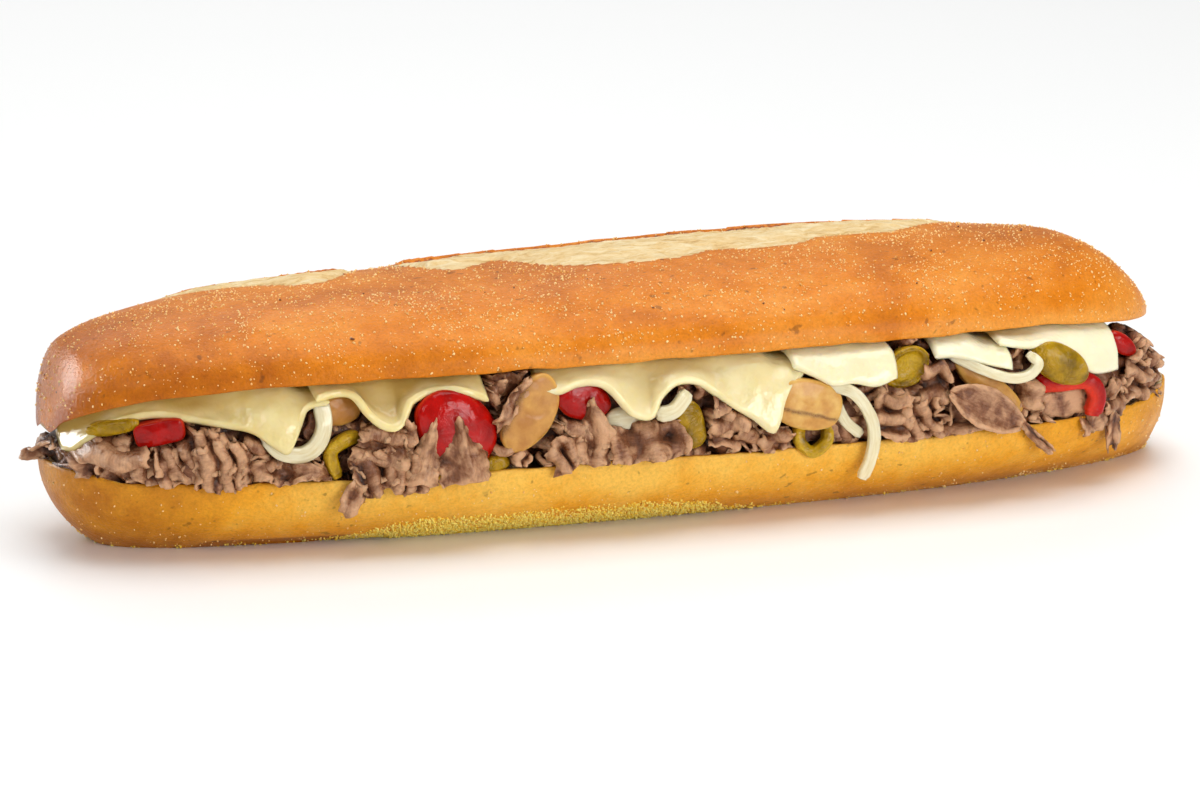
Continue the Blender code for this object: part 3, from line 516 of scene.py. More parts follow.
def make_crown():
    points, paint = [], {"crumb": [], "bake": [], "shine": []}
    places = spaced(CROWN_PLAN["left"], CROWN_PLAN["right"], CROWN_STATIONS)
    for x in places:
        ring, crumbs, bakes = crown_ring(x)
        points += ring
        paint["shine"] += [1 - smoothstep(-142, -126, x)] * len(ring)
        paint["crumb"] += crumbs
        paint["bake"] += bakes
    count = ARCH_POINTS + UNDER_POINTS
    faces = ring_faces(0, len(places), count)
    ends = ((CROWN_PLAN["left"], 0, True), (CROWN_PLAN["right"], len(points) - count, False))
    for tip_x, first, turned in ends:
        tip_z = mix(along(CUT_LINE, tip_x), along(RIDGE_LINE, tip_x), 0.1)
        faces += fan_faces(first, count, len(points), turned)
        points.append((tip_x, 0.0, tip_z))
        paint["crumb"].append(0.0)
        paint["bake"].append(0.1)
        paint["shine"].append(1.0 if tip_x < 0 else 0.0)
    return make_piece("roll_upper_half", points, faces, crown_crust, ["bun_top"], paint)


crown = make_crown()

# %% [markdown]
# The lower half is a shallow tray of bread: flat below, a flank that tucks under, a thin torn rim and
# a soft cut face that sinks a little in the middle under the filling. Rings stacked from the table up
# give it. Near the left, the underside is dented and browner where it stuck to the oven's floor.

# %% The lower half of the roll
FLANK_TUCK = 2.4
FLANK_LEVELS = 30
HEEL_POINTS = 560
FLANK_CENTRE = 10
LIP_LEVELS = [(0.55, 0.5), (1.3, 0.15), (2.4, -0.7)]
LIP_SLANT = 0.35
FACE_LEVELS = 26
DENT = {"from": -112.0, "to": -74.0, "depth": 5.0, "height": 3.2}


def plan_point(plan, turn):
    """The point of an outline at an angle, from the right end round by the far side."""
    c, s = math.cos(turn), math.sin(turn)
    reach = plan["right"] - plan["widest"] if c >= 0 else plan["widest"] - plan["left"]
    power = plan["powers"][1 if c >= 0 else 0]
    return plan["widest"] + reach * signed_power(c, 2 / power), plan["half"] * signed_power(s, 2 / power)


def mixed_plan(share):
    """The outline between the base, at 0, and the rim, at 1."""
    mixed = {key: mix(BASE_PLAN[key], HEEL_PLAN[key], share)
             for key in ("left", "right", "widest", "half")}
    mixed["powers"] = tuple(mix(a, b, share)
                            for a, b in zip(BASE_PLAN["powers"], HEEL_PLAN["powers"]))
    return mixed


def rim_wave(x, y):
    """How far the torn rim stands above or below its mean height."""
    return (0.8 * bumps(x, y, 0, 0.035, 1.5) + 0.5 * bumps(x, y, 0, 0.12, 6.0)
            + 0.22 * bumps(x, y, 0, 0.4, 2.0))


def dent_at(x, y, z):
    """How far the flank is pushed in near the table at the left front."""
    if y > 0 or z > DENT["height"]:
        return 0.0
    begun = smoothstep(DENT["from"] - 8, DENT["from"] + 4, x)
    ended = smoothstep(DENT["to"] - 4, DENT["to"] + 8, x)
    return begun * (1 - ended) * DENT["depth"] * (1 - z / DENT["height"])


def make_heel():
    points, paint = [], {"crumb": [], "bake": []}
    turns = [2 * math.pi * i / HEEL_POINTS for i in range(HEEL_POINTS)]
    for level in range(FLANK_LEVELS + 1):
        share_up = (level / FLANK_LEVELS) ** 1.3
        plan = mixed_plan(1 - (1 - share_up) ** FLANK_TUCK)
        for turn in turns:
            x, y = plan_point(plan, turn)
            z = rim_height(x) * share_up
            swell = 0.6 * bumps(x, y, z, 0.03, 8.0) + 0.22 * bumps(x, y, z, 0.12)
            dent = dent_at(x, y, z)
            swell = swell * math.sin(math.pi * share_up) - dent
            length = math.hypot(x - FLANK_CENTRE, y) or 1.0
            stretch = 1 + swell / length * (1.0 if abs(y) > 20 else 0.5)
            wave = rim_wave(x, y) * share_up ** 2
            points.append((FLANK_CENTRE + (x - FLANK_CENTRE) * stretch, y * stretch,
                           max(0.0, z + wave)))
            paint["crumb"].append(0.0)
            brown = 0.6 * smoothstep(0.2, 1.2, dent)
            golden = -0.26 * smoothstep(0.2, 0.9, share_up) * (1 - smoothstep(60, 130, x))
            golden *= smoothstep(-120, -60, x)
            under = 0.10 * (1 - smoothstep(0.0, 0.3, share_up)) * smoothstep(20, 60, abs(x + 40))
            ends = 0.14 * smoothstep(95, 150, abs(x)) + 0.20 * (1 - smoothstep(-150, -90, x))
            paint["bake"].append(brown + golden + under + ends)
    rim_first = len(points) - HEEL_POINTS
    rim = points[rim_first:]
    for inward, rise in LIP_LEVELS:
        for x, y, z in rim:
            length = math.hypot(x * LIP_SLANT, y) or 1.0
            frill = 0.12 * bumps(x, y, inward, 0.8, 3.0)
            points.append((x - x * LIP_SLANT * inward / length, y - y * inward / length,
                           z + rise * 0.6 + frill))
            paint["crumb"].append(0.35 if inward < 1 else 1.0)
            paint["bake"].append(-0.25)
    middle = HEEL_PLAN["widest"] * 0.2
    lip = points[-HEEL_POINTS:]
    for level in range(1, FACE_LEVELS):
        share = 1 - level / FACE_LEVELS
        shorten = 1 - 0.25 * (1 - share) ** 2 - 0.1 * (1 - share)
        for x, y, z in lip:
            px, py = middle + (x - middle) * shorten, y * share
            pore = 0.5 * bumps(px, py, 0, 0.22, 7.0) + 0.3 * bumps(px, py, 0, 0.6, 1.0)
            height = mix(z, RIM_HEIGHT, 1 - share) - RIM_DIP * (1 - share ** 2) * 0.9 - abs(pore) - 0.2
            points.append((px, py, height))
            paint["crumb"].append(1.0)
            paint["bake"].append(0.0)
    levels = len(points) // HEEL_POINTS
    faces = ring_faces(0, levels, HEEL_POINTS)
    faces.append(tuple(range(HEEL_POINTS))[::-1])
    faces += fan_faces((levels - 1) * HEEL_POINTS, HEEL_POINTS, len(points))
    points.append((middle, 0.0, RIM_HEIGHT - RIM_DIP))
    paint["crumb"].append(1.0)
    paint["bake"].append(0.0)
    return make_piece("roll_lower_half", points, faces, heel_crust, ["bun_bottom"], paint)


heel = make_heel()

# %% [markdown]
# The roll was baked on cornmeal. Pale grains cling to the top of the crust, and bright yellow ones lie
# thick along the bottom edge at the left front. Each grain is real, a squashed twenty-sided lump half
# a millimetre wide, because painted dots would lose their sparkle and their tiny shadows. All grains
# of one kind are joined into one mesh.

# %% Cornmeal
GOLDEN_RATIO = (1 + math.sqrt(5)) / 2
LUMP_CORNERS = [Vector(c).normalized() for c in [
    (-1, GOLDEN_RATIO, 0), (1, GOLDEN_RATIO, 0), (-1, -GOLDEN_RATIO, 0), (1, -GOLDEN_RATIO, 0),
    (0, -1, GOLDEN_RATIO), (0, 1, GOLDEN_RATIO), (0, -1, -GOLDEN_RATIO), (0, 1, -GOLDEN_RATIO),
    (GOLDEN_RATIO, 0, -1), (GOLDEN_RATIO, 0, 1), (-GOLDEN_RATIO, 0, -1), (-GOLDEN_RATIO, 0, 1)]]
LUMP_FACES = [(0, 11, 5), (0, 5, 1), (0, 1, 7), (0, 7, 10), (0, 10, 11), (1, 5, 9), (5, 11, 4),
              (11, 10, 2), (10, 7, 6), (7, 1, 8), (3, 9, 4), (3, 4, 2), (3, 2, 6), (3, 6, 8),
              (3, 8, 9), (4, 9, 5), (2, 4, 11), (6, 2, 10), (8, 6, 7), (9, 8, 1)]
CROWN_GRAINS, HEEL_GRAINS, YELLOW_GRAINS, BURNT_GRAINS = 8400, 1300, 9400, 30


def surface_spots(piece, wanted, density, rng):
    """Random places on a piece in millimetres with their normals, drawn as the density asks."""
    mesh = piece.data
    mesh.calc_loop_triangles()
    triangles = mesh.loop_triangles
    weights = []
    for triangle in triangles:
        middle = sum((mesh.vertices[i].co for i in triangle.vertices), Vector()) / 3 / MM
        weights.append(triangle.area * density(middle, triangle.normal))
    totals = np.cumsum(weights)
    spots = []
    for _ in range(wanted):
        found = int(np.searchsorted(totals, rng.random() * totals[-1]))
        triangle = triangles[min(found, len(triangles) - 1)]
        a, b, c = (mesh.vertices[i].co for i in triangle.vertices)
        u, v = rng.random(), rng.random()
        if u + v > 1:
            u, v = 1 - u, 1 - v
        spots.append(((a + (b - a) * u + (c - a) * v) / MM, triangle.normal.copy()))
    return spots


def grains(spots, smallest, largest, rng):
    """Points and faces of squashed lumps that sit in the surface at the spots, and a tone for each."""
    points, faces, tones = [], [], []
    for spot, normal in spots:
        size = mix(smallest, largest, rng.random() ** 2) / 2
        turn = Euler((rng.random() * 6.3, rng.random() * 6.3, rng.random() * 6.3)).to_matrix()
        squash = Vector((rng.uniform(0.7, 1.3), rng.uniform(0.6, 1.0), rng.uniform(0.5, 0.9)))
        tone = rng.random()
        first = len(points)
        for corner in LUMP_CORNERS:
            lump = turn @ Vector((corner.x * squash.x, corner.y * squash.y, corner.z * squash.z))
            place = spot + lump * size * rng.uniform(0.8, 1.2) + normal * size * 0.25
            points.append((place.x, place.y, max(0.05, place.z)))
            tones.append(tone)
        faces += [tuple(first + i for i in face) for face in LUMP_FACES]
    return points, faces, {"tone": tones}


def crown_density(spot, normal):
    """Grains lie thick on the top and the upper flank in clusters, and thin out towards the cut."""
    if normal.z < -0.2 or spot.z < along(CUT_LINE, spot.x) + 0.6 or score_at(spot.x, spot.y)[1] > 0.3:
        return 0.0
    height = (spot.z - along(CUT_LINE, spot.x)) / (along(RIDGE_LINE, spot.x) - along(CUT_LINE, spot.x))
    patchy = max(0.0, 0.6 + 0.8 * bumps(spot.x, spot.y, spot.z, 0.07, 12.0)) ** 1.3
    patchy += 0.9 * max(0.0, bumps(spot.x, spot.y, spot.z, 0.4, 3.0)) ** 1.5
    towards_top = 0.62 + 0.38 * smoothstep(0.1, 0.8, height)
    return towards_top * patchy * (0.45 + 0.55 * smoothstep(-150, -120, spot.x))


def heel_density(spot, normal):
    """A few grains all over the flank, and more low down towards the right end."""
    if normal.z > 0.35 or spot.z < 0.3 or spot.z > 18:
        return 0.0
    patchy = max(0.0, 0.5 + 0.9 * bumps(spot.x, spot.y, spot.z, 0.06, 2.0))
    return 0.3 * patchy + 0.8 * (1 - smoothstep(0.8, 3.5, spot.z)) * (0.3 + smoothstep(60, 110, spot.x))


def yellow_density(spot, normal):
    """Grains lie thickest along the bottom edge at the left front, and thin elsewhere."""
    if normal.z > 0.3 or spot.z < 0.15 or spot.z > 11:
        return 0.0
    thick = smoothstep(-92, -66, spot.x) * (1 - smoothstep(-8, 40, spot.x)) if spot.y < 0 else 0.35
    reach = mix(1.6, 8.4, thick)
    edge = spot.z + 1.4 * bumps(spot.x, 0, spot.z, 0.12) + 0.8 * bumps(spot.x, 4, spot.z, 0.5)
    return (0.05 + 0.95 * thick) * (1 - smoothstep(reach * 0.55, reach, edge))


def meal_finish(name, pale, deep):
    r = Recipe(name)
    tone = r.ramp(r.painted("tone"), (0.0, deep), (0.7, pale))
    colour = r.blend(0.3, tone, r.ramp(r.grain(0.3, 2.0), (0.3, 0.7), (0.7, 1.0)), "MULTIPLY")
    return r.finish(colour, 0.34, r.relief(r.grain(0.2, 2.0), 0.03), IOR=1.45)


pale_meal = meal_finish("pale cornmeal", (0.97, 0.72, 0.32), (0.84, 0.42, 0.07))
yellow_meal = meal_finish("yellow cornmeal", (1.0, 0.84, 0.20), (0.94, 0.58, 0.02))
burnt_meal = meal_finish("burnt cornmeal", (0.20, 0.06, 0.015), (0.10, 0.03, 0.01))
draw = random.Random(4)
pale_spots = surface_spots(crown, CROWN_GRAINS, crown_density, draw)
pale_spots += surface_spots(heel, HEEL_GRAINS, heel_density, draw)
points, faces, paint = grains(pale_spots, 0.28, 0.78, draw)
make_piece("cornmeal_pale", points, faces, pale_meal, (), paint)
yellow_spots = surface_spots(heel, YELLOW_GRAINS, yellow_density, draw)
points, faces, paint = grains(yellow_spots, 0.42, 0.95, draw)
make_piece("cornmeal_yellow", points, faces, yellow_meal, (), paint)
burnt_spots = surface_spots(crown, BURNT_GRAINS, crown_density, draw)
points, faces, paint = grains(burnt_spots, 0.5, 1.1, draw)
make_piece("cornmeal_burnt", points, faces, burnt_meal, (), paint)

# %% [markdown]
# The cheese is sliced thin and has softened in the heat. Each slice runs flat under the upper half of
# the roll and hangs out at both sides, where its free edge flares and waves. A cloth simulation would
# drape it too, but here each wave is known, so the hanging curve is drawn from the edge's own height,
# its distance out and its belly, which is 0 where the sheet hangs back in shade and 1 where it bulges.

# %% The form of the cheese slices
CHEESE_THICKNESS = 2.1
CHEESE_LEVEL = 2.5
CHEESE_GAP = 0.5
CHEESE_RAMP = 7.0
CHEESE_LAP = 12.0
LEAST_DROP = 0.8

# Each slice has its free edge on the shown side, as x, height and how far out, and on the far side,
# as x and height. "under" marks a slice whose right end lies under its neighbour.
CHEESE_SLICES = [
    {"under": True, "belly": [(-148, 0.1), (-125, 0.0), (-112, 0.3), (-101, 0.9), (-88, 0.0)],
     "edge": [(-149.5, 27.4, 0.8), (-147, 27.8, 0.8), (-144, 31.0, 0.6), (-139.5, 34.6, 0.0),
              (-134, 36.4, -0.8), (-128, 37.2, -0.8), (-121, 36.2, 0.2), (-113, 34.6, 1.2),
              (-107, 33.0, 1.7), (-102.5, 29.6, 2.6), (-99, 27.8, 3.0), (-96.5, 32, 2.2),
              (-94, 38.0, 0.6), (-88, 40, 0)],
     "far": [(-143, 34), (-120, 37), (-104, 33), (-88, 39)]},
    {"belly": [(-92, 0.5), (-82, 0.1), (-75, 0.2), (-68, 0.0), (-58, 0.1), (-49, 0.4)],
     "edge": [(-92, 41, 2.5), (-86, 42, 1), (-82, 41, 1.5), (-79.5, 37, 3.5), (-75, 33.2, 4.2),
              (-71, 34, 3.5), (-68.5, 39, 1.5), (-58, 41.3, 0), (-49, 38.4, 1.5)],
     "far": [(-92, 38), (-80, 34), (-66, 38), (-49, 32)]},
    {"under": True, "belly": [(-36, 0.2), (-14, 0.4), (-4, 0.2), (10, 0.3), (25, 0.9), (34, 0.5)],
     "edge": [(-36, 40, 0), (-31, 38.8, 0.5), (-26, 40.4, 0), (-20, 40.2, 0), (-16.5, 37.5, 1.5),
              (-12.5, 32.4, 3), (-7, 31.3, 3), (-4.5, 35.5, 1.5), (0, 39, 0.5), (6, 38.6, 1),
              (13, 33.3, 2), (19, 28.9, 3), (25, 25.2, 3.4), (28.5, 33, 1.5), (34, 39, 0)],
     "far": [(-36, 36), (-20, 31), (-6, 37), (10, 35), (22, 30), (34, 37)]},
    {"belly": [(31, 0.6), (45, 0.8), (59, 1.0)],
     "edge": [(31, 41, 0.5), (36, 38.4, 1.5), (41, 35.7, 2.8), (47, 35.6, 2.2), (53, 34.4, 2.5),
              (59, 36, 2)],
     "far": [(31, 35), (45, 38), (59, 34)]},
    {"under": True, "belly": [(70, 0.4), (91, 1.0)],
     "edge": [(70, 40.2, 0.5), (75, 40, 1), (80, 38.6, 1.5), (86, 36.6, 2), (91.5, 35.2, 2)],
     "far": [(70, 33), (82, 37), (91.5, 36)]},
    {"belly": [(88, 0.1), (100, 0.3), (112, 0.9), (122, 1.0)],
     "edge": [(88, 42.4, 1), (97, 40.6, 2), (103, 40.4, 2.5), (110, 35.6, 3.4), (115.5, 31.6, 3.6),
              (120, 30.6, 3.4), (125.5, 30.4, 2.4)],
     "far": [(88, 39), (104, 34), (125.5, 36)]},
]
print("cheese slices:", len(CHEESE_SLICES))


def cheese_top(x, dip_start=None):
    """Height of a slice's middle under the upper half; past dip_start it dips under its neighbour."""
    top = along(CUT_LINE, x) - CHEESE_GAP - CHEESE_THICKNESS / 2
    if dip_start is None:
        return top
    return top - CHEESE_LEVEL * smoothstep(dip_start, dip_start + CHEESE_RAMP, x)


def bezier(p0, p1, p2, p3, t):
    return tuple((1 - t) ** 3 * a + 3 * t * (1 - t) ** 2 * b + 3 * t * t * (1 - t) * c + t ** 3 * d
                 for a, b, c, d in zip(p0, p1, p2, p3))


def hanging_curve(x, top, edge_height, edge_out, belly, count):
    """(distance from the middle, height) pairs from the flat part of a slice down to its free edge."""
    rim = filling_half(x)
    drop = top - edge_height
    start = (max(2.0, rim - 8), top)
    over = (mix(rim - 5.0, rim - 0.5, belly), top - 0.02 * drop)
    down = (mix(rim - 4.0, rim + edge_out + 0.2, belly),
            mix(edge_height + 0.12 * drop, top - 0.45 * drop, belly))
    tip = (rim + edge_out, edge_height)
    return [bezier(start, over, down, tip, i / count) for i in range(count + 1)]


# %% [markdown]
# A thin sheet needs a soft, rounded edge, or its rim catches light like cut card. The sheet's two
# faces are set off from a grid of points along the sheet's own normals, and the distance between them
# shrinks over the last millimetre, so that they meet in a round lip.

# %% Rounded sheets


def rounded_sheet(grid, thickness, round_rows, taper=0.25):
    """Points and faces of a sheet round a grid, its edge rounded over a number of rows of the grid."""
    rows, columns = grid.shape[:2]
    down = np.gradient(grid, axis=0)
    across = np.gradient(grid, axis=1)
    normal = np.cross(down, across)
    normal /= np.maximum(np.linalg.norm(normal, axis=2, keepdims=True), 1e-9)
    i, j = np.arange(rows)[:, None], np.arange(columns)[None, :]
    border = np.minimum(np.minimum(i, rows - 1 - i), np.minimum(j, columns - 1 - j)) / round_rows
    inner = np.clip(border, 0, 1)
    half = thickness / 2 * (taper + (1 - taper) * np.sqrt(1 - (1 - inner) ** 2))[..., None]
    points = np.concatenate([(grid + normal * half).reshape(-1, 3),
                             (grid - normal * half).reshape(-1, 3)])
    size = rows * columns
    faces = []
    for a in range(rows - 1):
        for b in range(columns - 1):
            p, q = a * columns + b, (a + 1) * columns + b
            faces += [(p, q, q + 1, p + 1), (size + p + 1, size + q + 1, size + q, size + p)]
    edge = [a * columns for a in range(rows - 1)]
    edge += [(rows - 1) * columns + b for b in range(columns - 1)]
    edge += [a * columns + columns - 1 for a in range(rows - 1, 0, -1)]
    edge += list(range(columns - 1, 0, -1))
    for k, first in enumerate(edge):
        second = edge[(k + 1) % len(edge)]
        faces.append((second, first, size + first, size + second))
    return points, faces


# %% [markdown]
# Melted cheese is pale and lets light in, so it gets subsurface scattering: without it the thin edges
# would look like painted card. A painted value called inner darkens the sheet to a deep olive brown
# where it hangs back under the upper half: this is painted shade of the roll's overhang, with a little
# grease. Each slice is one sheet from side to side: down to the free edge that shows, flat under the
# upper half, and down again on the far side.

# %% Finish and pieces of cheese


def cheese_finish():
    r = Recipe("melted cheese")
    cloud = r.grain(9.0, 3.0)
    colour = r.ramp(cloud, (0.3, (0.75, 0.59, 0.235)), (0.65, (0.82, 0.69, 0.36)))
    colour = r.blend(r.painted("pale"), colour, (0.92, 0.87, 0.66))
    # Painted shade: the value inner darkens the sheet to olive brown where it hangs back under the roll's
    # overhang, with a little grease.
    overhang_shade = r.spread(r.painted("inner"), 0.0, 1.0, 0.0, 0.9)
    colour = r.blend(overhang_shade, colour, (0.50, 0.32, 0.075))
    soft = r.relief(r.grain(3.4, 2.0), 0.5)
    fine = r.relief(r.grain(0.7, 2.0), 0.02, soft)
    rough = r.spread(r.grain(3.0, 3.0), 0.3, 0.7, 0.14, 0.26)
    return r.finish(colour, rough, fine, IOR=1.45, Subsurface_Weight=0.5, Subsurface_Scale=0.003,
                    Subsurface_Radius=(1.0, 0.72, 0.30), Coat_Weight=0.18, Coat_Roughness=0.16)


CHEESE_COLUMN = 0.75
DRAPE_ROWS = 26
FLAT_ROWS = 12
melted_cheese = cheese_finish()


def make_cheese(number, cheese):
    """One slice: a row of points from its shown edge to its far one at each column along the roll."""
    edge, far = cheese["edge"], cheese["far"]
    heights = [(x, z) for x, z, _ in edge]
    outs = [(x, out) for x, _, out in edge]
    first, last = edge[0][0], edge[-1][0]
    dip_start = last - CHEESE_LAP if cheese.get("under") else None
    columns = round((last - first) / CHEESE_COLUMN)
    rows, inner = [], []
    for k in range(columns + 1):
        x = mix(first, last, k / columns)
        top = cheese_top(x, dip_start)
        belly = along(cheese["belly"], x)
        recess = 1 - smoothstep(0.0, 0.5, belly)
        shown = hanging_curve(x, top, min(along(heights, x), top - LEAST_DROP), along(outs, x), belly,
                              DRAPE_ROWS)
        far_out = 1.2 if cheese.get("under") else 2.2
        far_belly = 0.45 + 0.4 * bumps(x, 0, 0, 0.08, number)
        hidden = hanging_curve(x, top, min(along(far, x), top - LEAST_DROP), far_out, far_belly,
                               DRAPE_ROWS)
        start = shown[0][0]
        flat = [(mix(-start, start, i / FLAT_ROWS), top) for i in range(1, FLAT_ROWS)]
        line = [(-y, z) for y, z in shown[::-1]] + flat + hidden
        steps = [math.dist(a, b) for a, b in zip(line, line[1:])]
        row = []
        for i, (y, z) in enumerate(line):
            hang = min(1.0, max(0.0, (top - z) / 3))
            wave = bumps(x, 0, z * 0.3, 0.13, number) + 0.45 * bumps(x, y, z * 0.5, 0.26, number)
            wave *= hang
            row.append((x + 0.25 * bumps(y, z, 0, 0.3, number), y + wave * (1 if y > 0 else -1), z))
            from_lip = min(sum(steps[:i]), sum(steps[i:]))
            # Painted shade: strong on the upper sheet, away from the lip, where the sheet hangs back
            # under the roll.
            inner.append(recess * smoothstep(1.6, 5.4, from_lip + bumps(x, 0, z, 0.2)))
        rows.append(row)
    points, faces = rounded_sheet(np.array(rows), CHEESE_THICKNESS, 2)
    paint = {"inner": inner + inner, "pale": [0.75 * smoothstep(2, 5, number)] * len(points)}
    return make_piece(f"cheese_slice_{number}", points, faces, melted_cheese,
                      [f"cheese_{number}"], paint)


for number, cheese in enumerate(CHEESE_SLICES, start=1):
    make_cheese(number, cheese)

# %% [markdown]
# The vegetables are cut pieces. A piece that shows a broad face is a slab: an outline grown from its
# middle in rings, domed in front and rounded at its rim. A ring or a strip is a band: a rounded bar
# swept along a curve. Both carry painted values for where a spot lies along and across the piece, and
# the finishes use them for skin, flesh and fibres that follow the cut.

# %% Where the cut pieces lie
# "at" is x and height, "out" is how far the piece stands out of the filling, and "turn", "swing" and
# "lean" turn it in degrees about the line of sight, the upright line and the roll's length.
RED_PEPPERS = [
    {"at": (-128.6, 33), "out": 0.4, "size": (12.5, 6.2), "power": 4.4, "thick": 5, "turn": 14,
     "swing": -22, "round": 0.5},
    {"at": (-57.4, 31.4), "out": 0.6, "size": (24.5, 18.5), "thick": 4, "dome": 2.4, "turn": -32,
     "bite": 0.15, "flat": 4.5},
    {"at": (-23.4, 35.6), "out": -1.4, "size": (15, 9.5), "thick": 4, "dome": 0.8, "turn": -14},
    {"at": (110, 27), "out": 2.6, "wide": 5.0, "deep": 3.4,
     "route": [(-9, 2.4, -1), (-3, 2.6, 0.3), (4.5, 2.4, 0.4), (7.8, -1.6, 0.2), (6.8, -7.2, -0.4)]},
    {"at": (129, 36), "out": 0.4, "size": (9.5, 5), "thick": 4, "turn": -38},
    {"at": (-95, 30), "out": 0.4, "size": (20, 12), "thick": 4, "dome": 2, "turn": 24, "far": True},
    {"at": (12, 33), "out": 0.2, "size": (15, 8), "power": 3, "thick": 4.5, "turn": -12, "far": True},
    {"at": (98, 29), "out": 0.8, "size": (22, 14), "thick": 4, "dome": 2.2, "turn": 150, "far": True},
]
GREEN_PEPPERS = [
    {"at": (-139.2, 34), "out": 0.4, "size": (13.5, 4), "power": 2.6, "thick": 3, "turn": 12,
     "swing": -26},
    {"at": (-85.4, 26), "out": 0.6, "wide": 3.4, "deep": 4.0,
     "route": [(5.4, 4.2, -1), (1.6, 3.8, 0), (-2.2, 1.2, 0), (-1.8, -2.6, 0), (-0.6, -5.4, 0)]},
    {"at": (-46.5, 21.6), "out": -0.6, "size": (8, 4.4), "thick": 4},
    {"at": (4.6, 27.7), "out": -0.4, "size": (7, 12.4), "power": 3.0, "thick": 4, "turn": 14},
    {"at": (36.9, 22), "out": 1.8, "wide": 3.0, "deep": 3.6,
     "route": [(-3.6, 3.4, -1), (-3.8, -0.6, 0), (-0.4, -3.7, 0), (3.5, -1.2, 0), (3.8, 2.8, -0.6)]},
    {"at": (62.8, 37.9), "out": -0.2, "size": (13, 10), "thick": 4, "turn": 28, "dish": 2.2},
    {"at": (106, 35.2), "out": 3.4, "size": (18, 9.8), "thick": 4, "dome": 1.8, "turn": -28},
    {"at": (-52, 27), "out": 0.6, "wide": 3.4, "deep": 4.0, "far": True,
     "route": [(-4.6, 3, 0), (-1, -3, 0), (4, -2, 0), (4.4, 4, 0)]},
    {"at": (48, 34), "out": 0.2, "size": (15, 10), "thick": 4, "dome": 1.4, "turn": 20, "far": True},
    {"at": (-122, 26), "out": 0.4, "size": (12, 6), "thick": 3.4, "turn": -14, "far": True},
]
ONIONS = [
    {"at": (-96, 32.6), "out": 2.0, "wide": 4.1, "deep": 2.4,
     "route": [(6.2, 7.2, -1.4), (6.6, 1.2, 0), (4.6, -3.6, 0), (0.6, -5.6, 0), (-4.6, -4.2, 0),
               (-8, -0.4, -1.6)]},
    {"at": (-11, 29.8), "out": -2.0, "size": (14, 7.4), "power": 2.6, "thick": 2.4, "turn": 2},
    {"at": (-0.4, 34), "out": 1.6, "wide": 3.8, "deep": 2.4,
     "route": [(-5, -2.6, 0), (-0.4, -1.6, 0.4), (3.4, 2.6, 0)]},
    {"at": (46.6, 24), "out": 3.2, "wide": 3.2, "deep": 1.9,
     "route": [(-8, 12, -2.4), (0, 9.4, -0.6), (4.6, 3.4, 0), (6, -2.4, 0), (5, -8.4, 0),
               (2.8, -13.4, -0.3)]},
    {"at": (46.5, 26.5), "out": 0.6, "wide": 2.8, "deep": 2.2,
     "route": [(-4.2, 5.6, 0), (-1, -0.8, 0), (3.6, -5, 0)]},
    {"at": (88, 36), "out": 3.4, "wide": 2.7, "deep": 2.0,
     "route": [(-13, 4, -2.4), (-4.6, -0.2, -0.2), (3, -2.8, 0), (8, -2.4, 0), (10.4, 0.4, 0),
               (8, 3, -0.6)]},
    {"at": (-74, 31), "out": 1.8, "wide": 3.4, "deep": 2.2, "far": True,
     "route": [(-10, 3, -1), (-4, -2.6, 0), (3, -3.4, 0), (8.6, 1.6, -0.6)]},
    {"at": (30, 24), "out": 2.8, "wide": 3.2, "deep": 2.0, "far": True,
     "route": [(-7, 9, -2), (-1, 6.4, 0), (2, 0, 0), (1, -8, 0), (-1.4, -12.6, 0)]},
    {"at": (118, 30), "out": 1.0, "wide": 3.2, "deep": 2.2, "far": True,
     "route": [(-7, 3, 0), (0, -2.4, 0), (6, 2, 0)]},
]
MUSHROOMS = [
    {"at": (-37.9, 33.3), "out": 0.8, "size": (22.6, 13), "thick": 4.6, "turn": 66, "bite": 0.2},
    {"at": (35, 30.9), "out": 1.6, "size": (19, 12.8), "power": 2.6, "thick": 5.4, "dome": 0.8,
     "turn": -13},
    {"at": (86.5, 30.4), "out": 0.2, "size": (24, 6.4), "thick": 5, "turn": -38},
    {"at": (-84.6, 36.8), "out": -3.0, "size": (11.5, 8), "thick": 3},
    {"at": (-18, 29), "out": 0.8, "size": (22, 13), "thick": 5, "dome": 0.8, "turn": 205, "bite": 0.2,
     "far": True},
    {"at": (74, 28), "out": 0.6, "size": (19, 11), "power": 2.5, "thick": 5, "turn": 24, "far": True},
]
print("cut pieces:", len(RED_PEPPERS) + len(GREEN_PEPPERS) + len(ONIONS) + len(MUSHROOMS))

# %% [markdown]
# Two functions make every cut piece, and a third sets it down on the filling. Knife cuts could be
# modelled by hand, piece by piece, but the pieces differ only in outline, thickness and bend, so a few
# named values for each are enough. A little noise keeps the outlines from looking stamped.

# %% Slabs and bands


def placed(points, item):
    """Puts local points, with X right, Y up and Z out, where the item lies on the filling."""
    spin = Euler((math.radians(item.get("lean", 0)), math.radians(item.get("swing", 0)),
                  math.radians(item.get("turn", 0)))).to_matrix()
    far = item.get("far", False)
    x, z = item["at"]
    y = filling_half(x) + item.get("out", 0.0)
    moved = []
    for p in points:
        q = spin @ Vector(p)
        moved.append((x - q.x, y + q.z, z + q.y) if far else (x + q.x, -y - q.z, z + q.y))
    return moved


SLAB_SIDES = 64
SLAB_RINGS = [0.12 * k for k in range(1, 9)]
RIM_STEPS = 5
RIM_ROUND = 0.9
BITE_AT = math.radians(215)


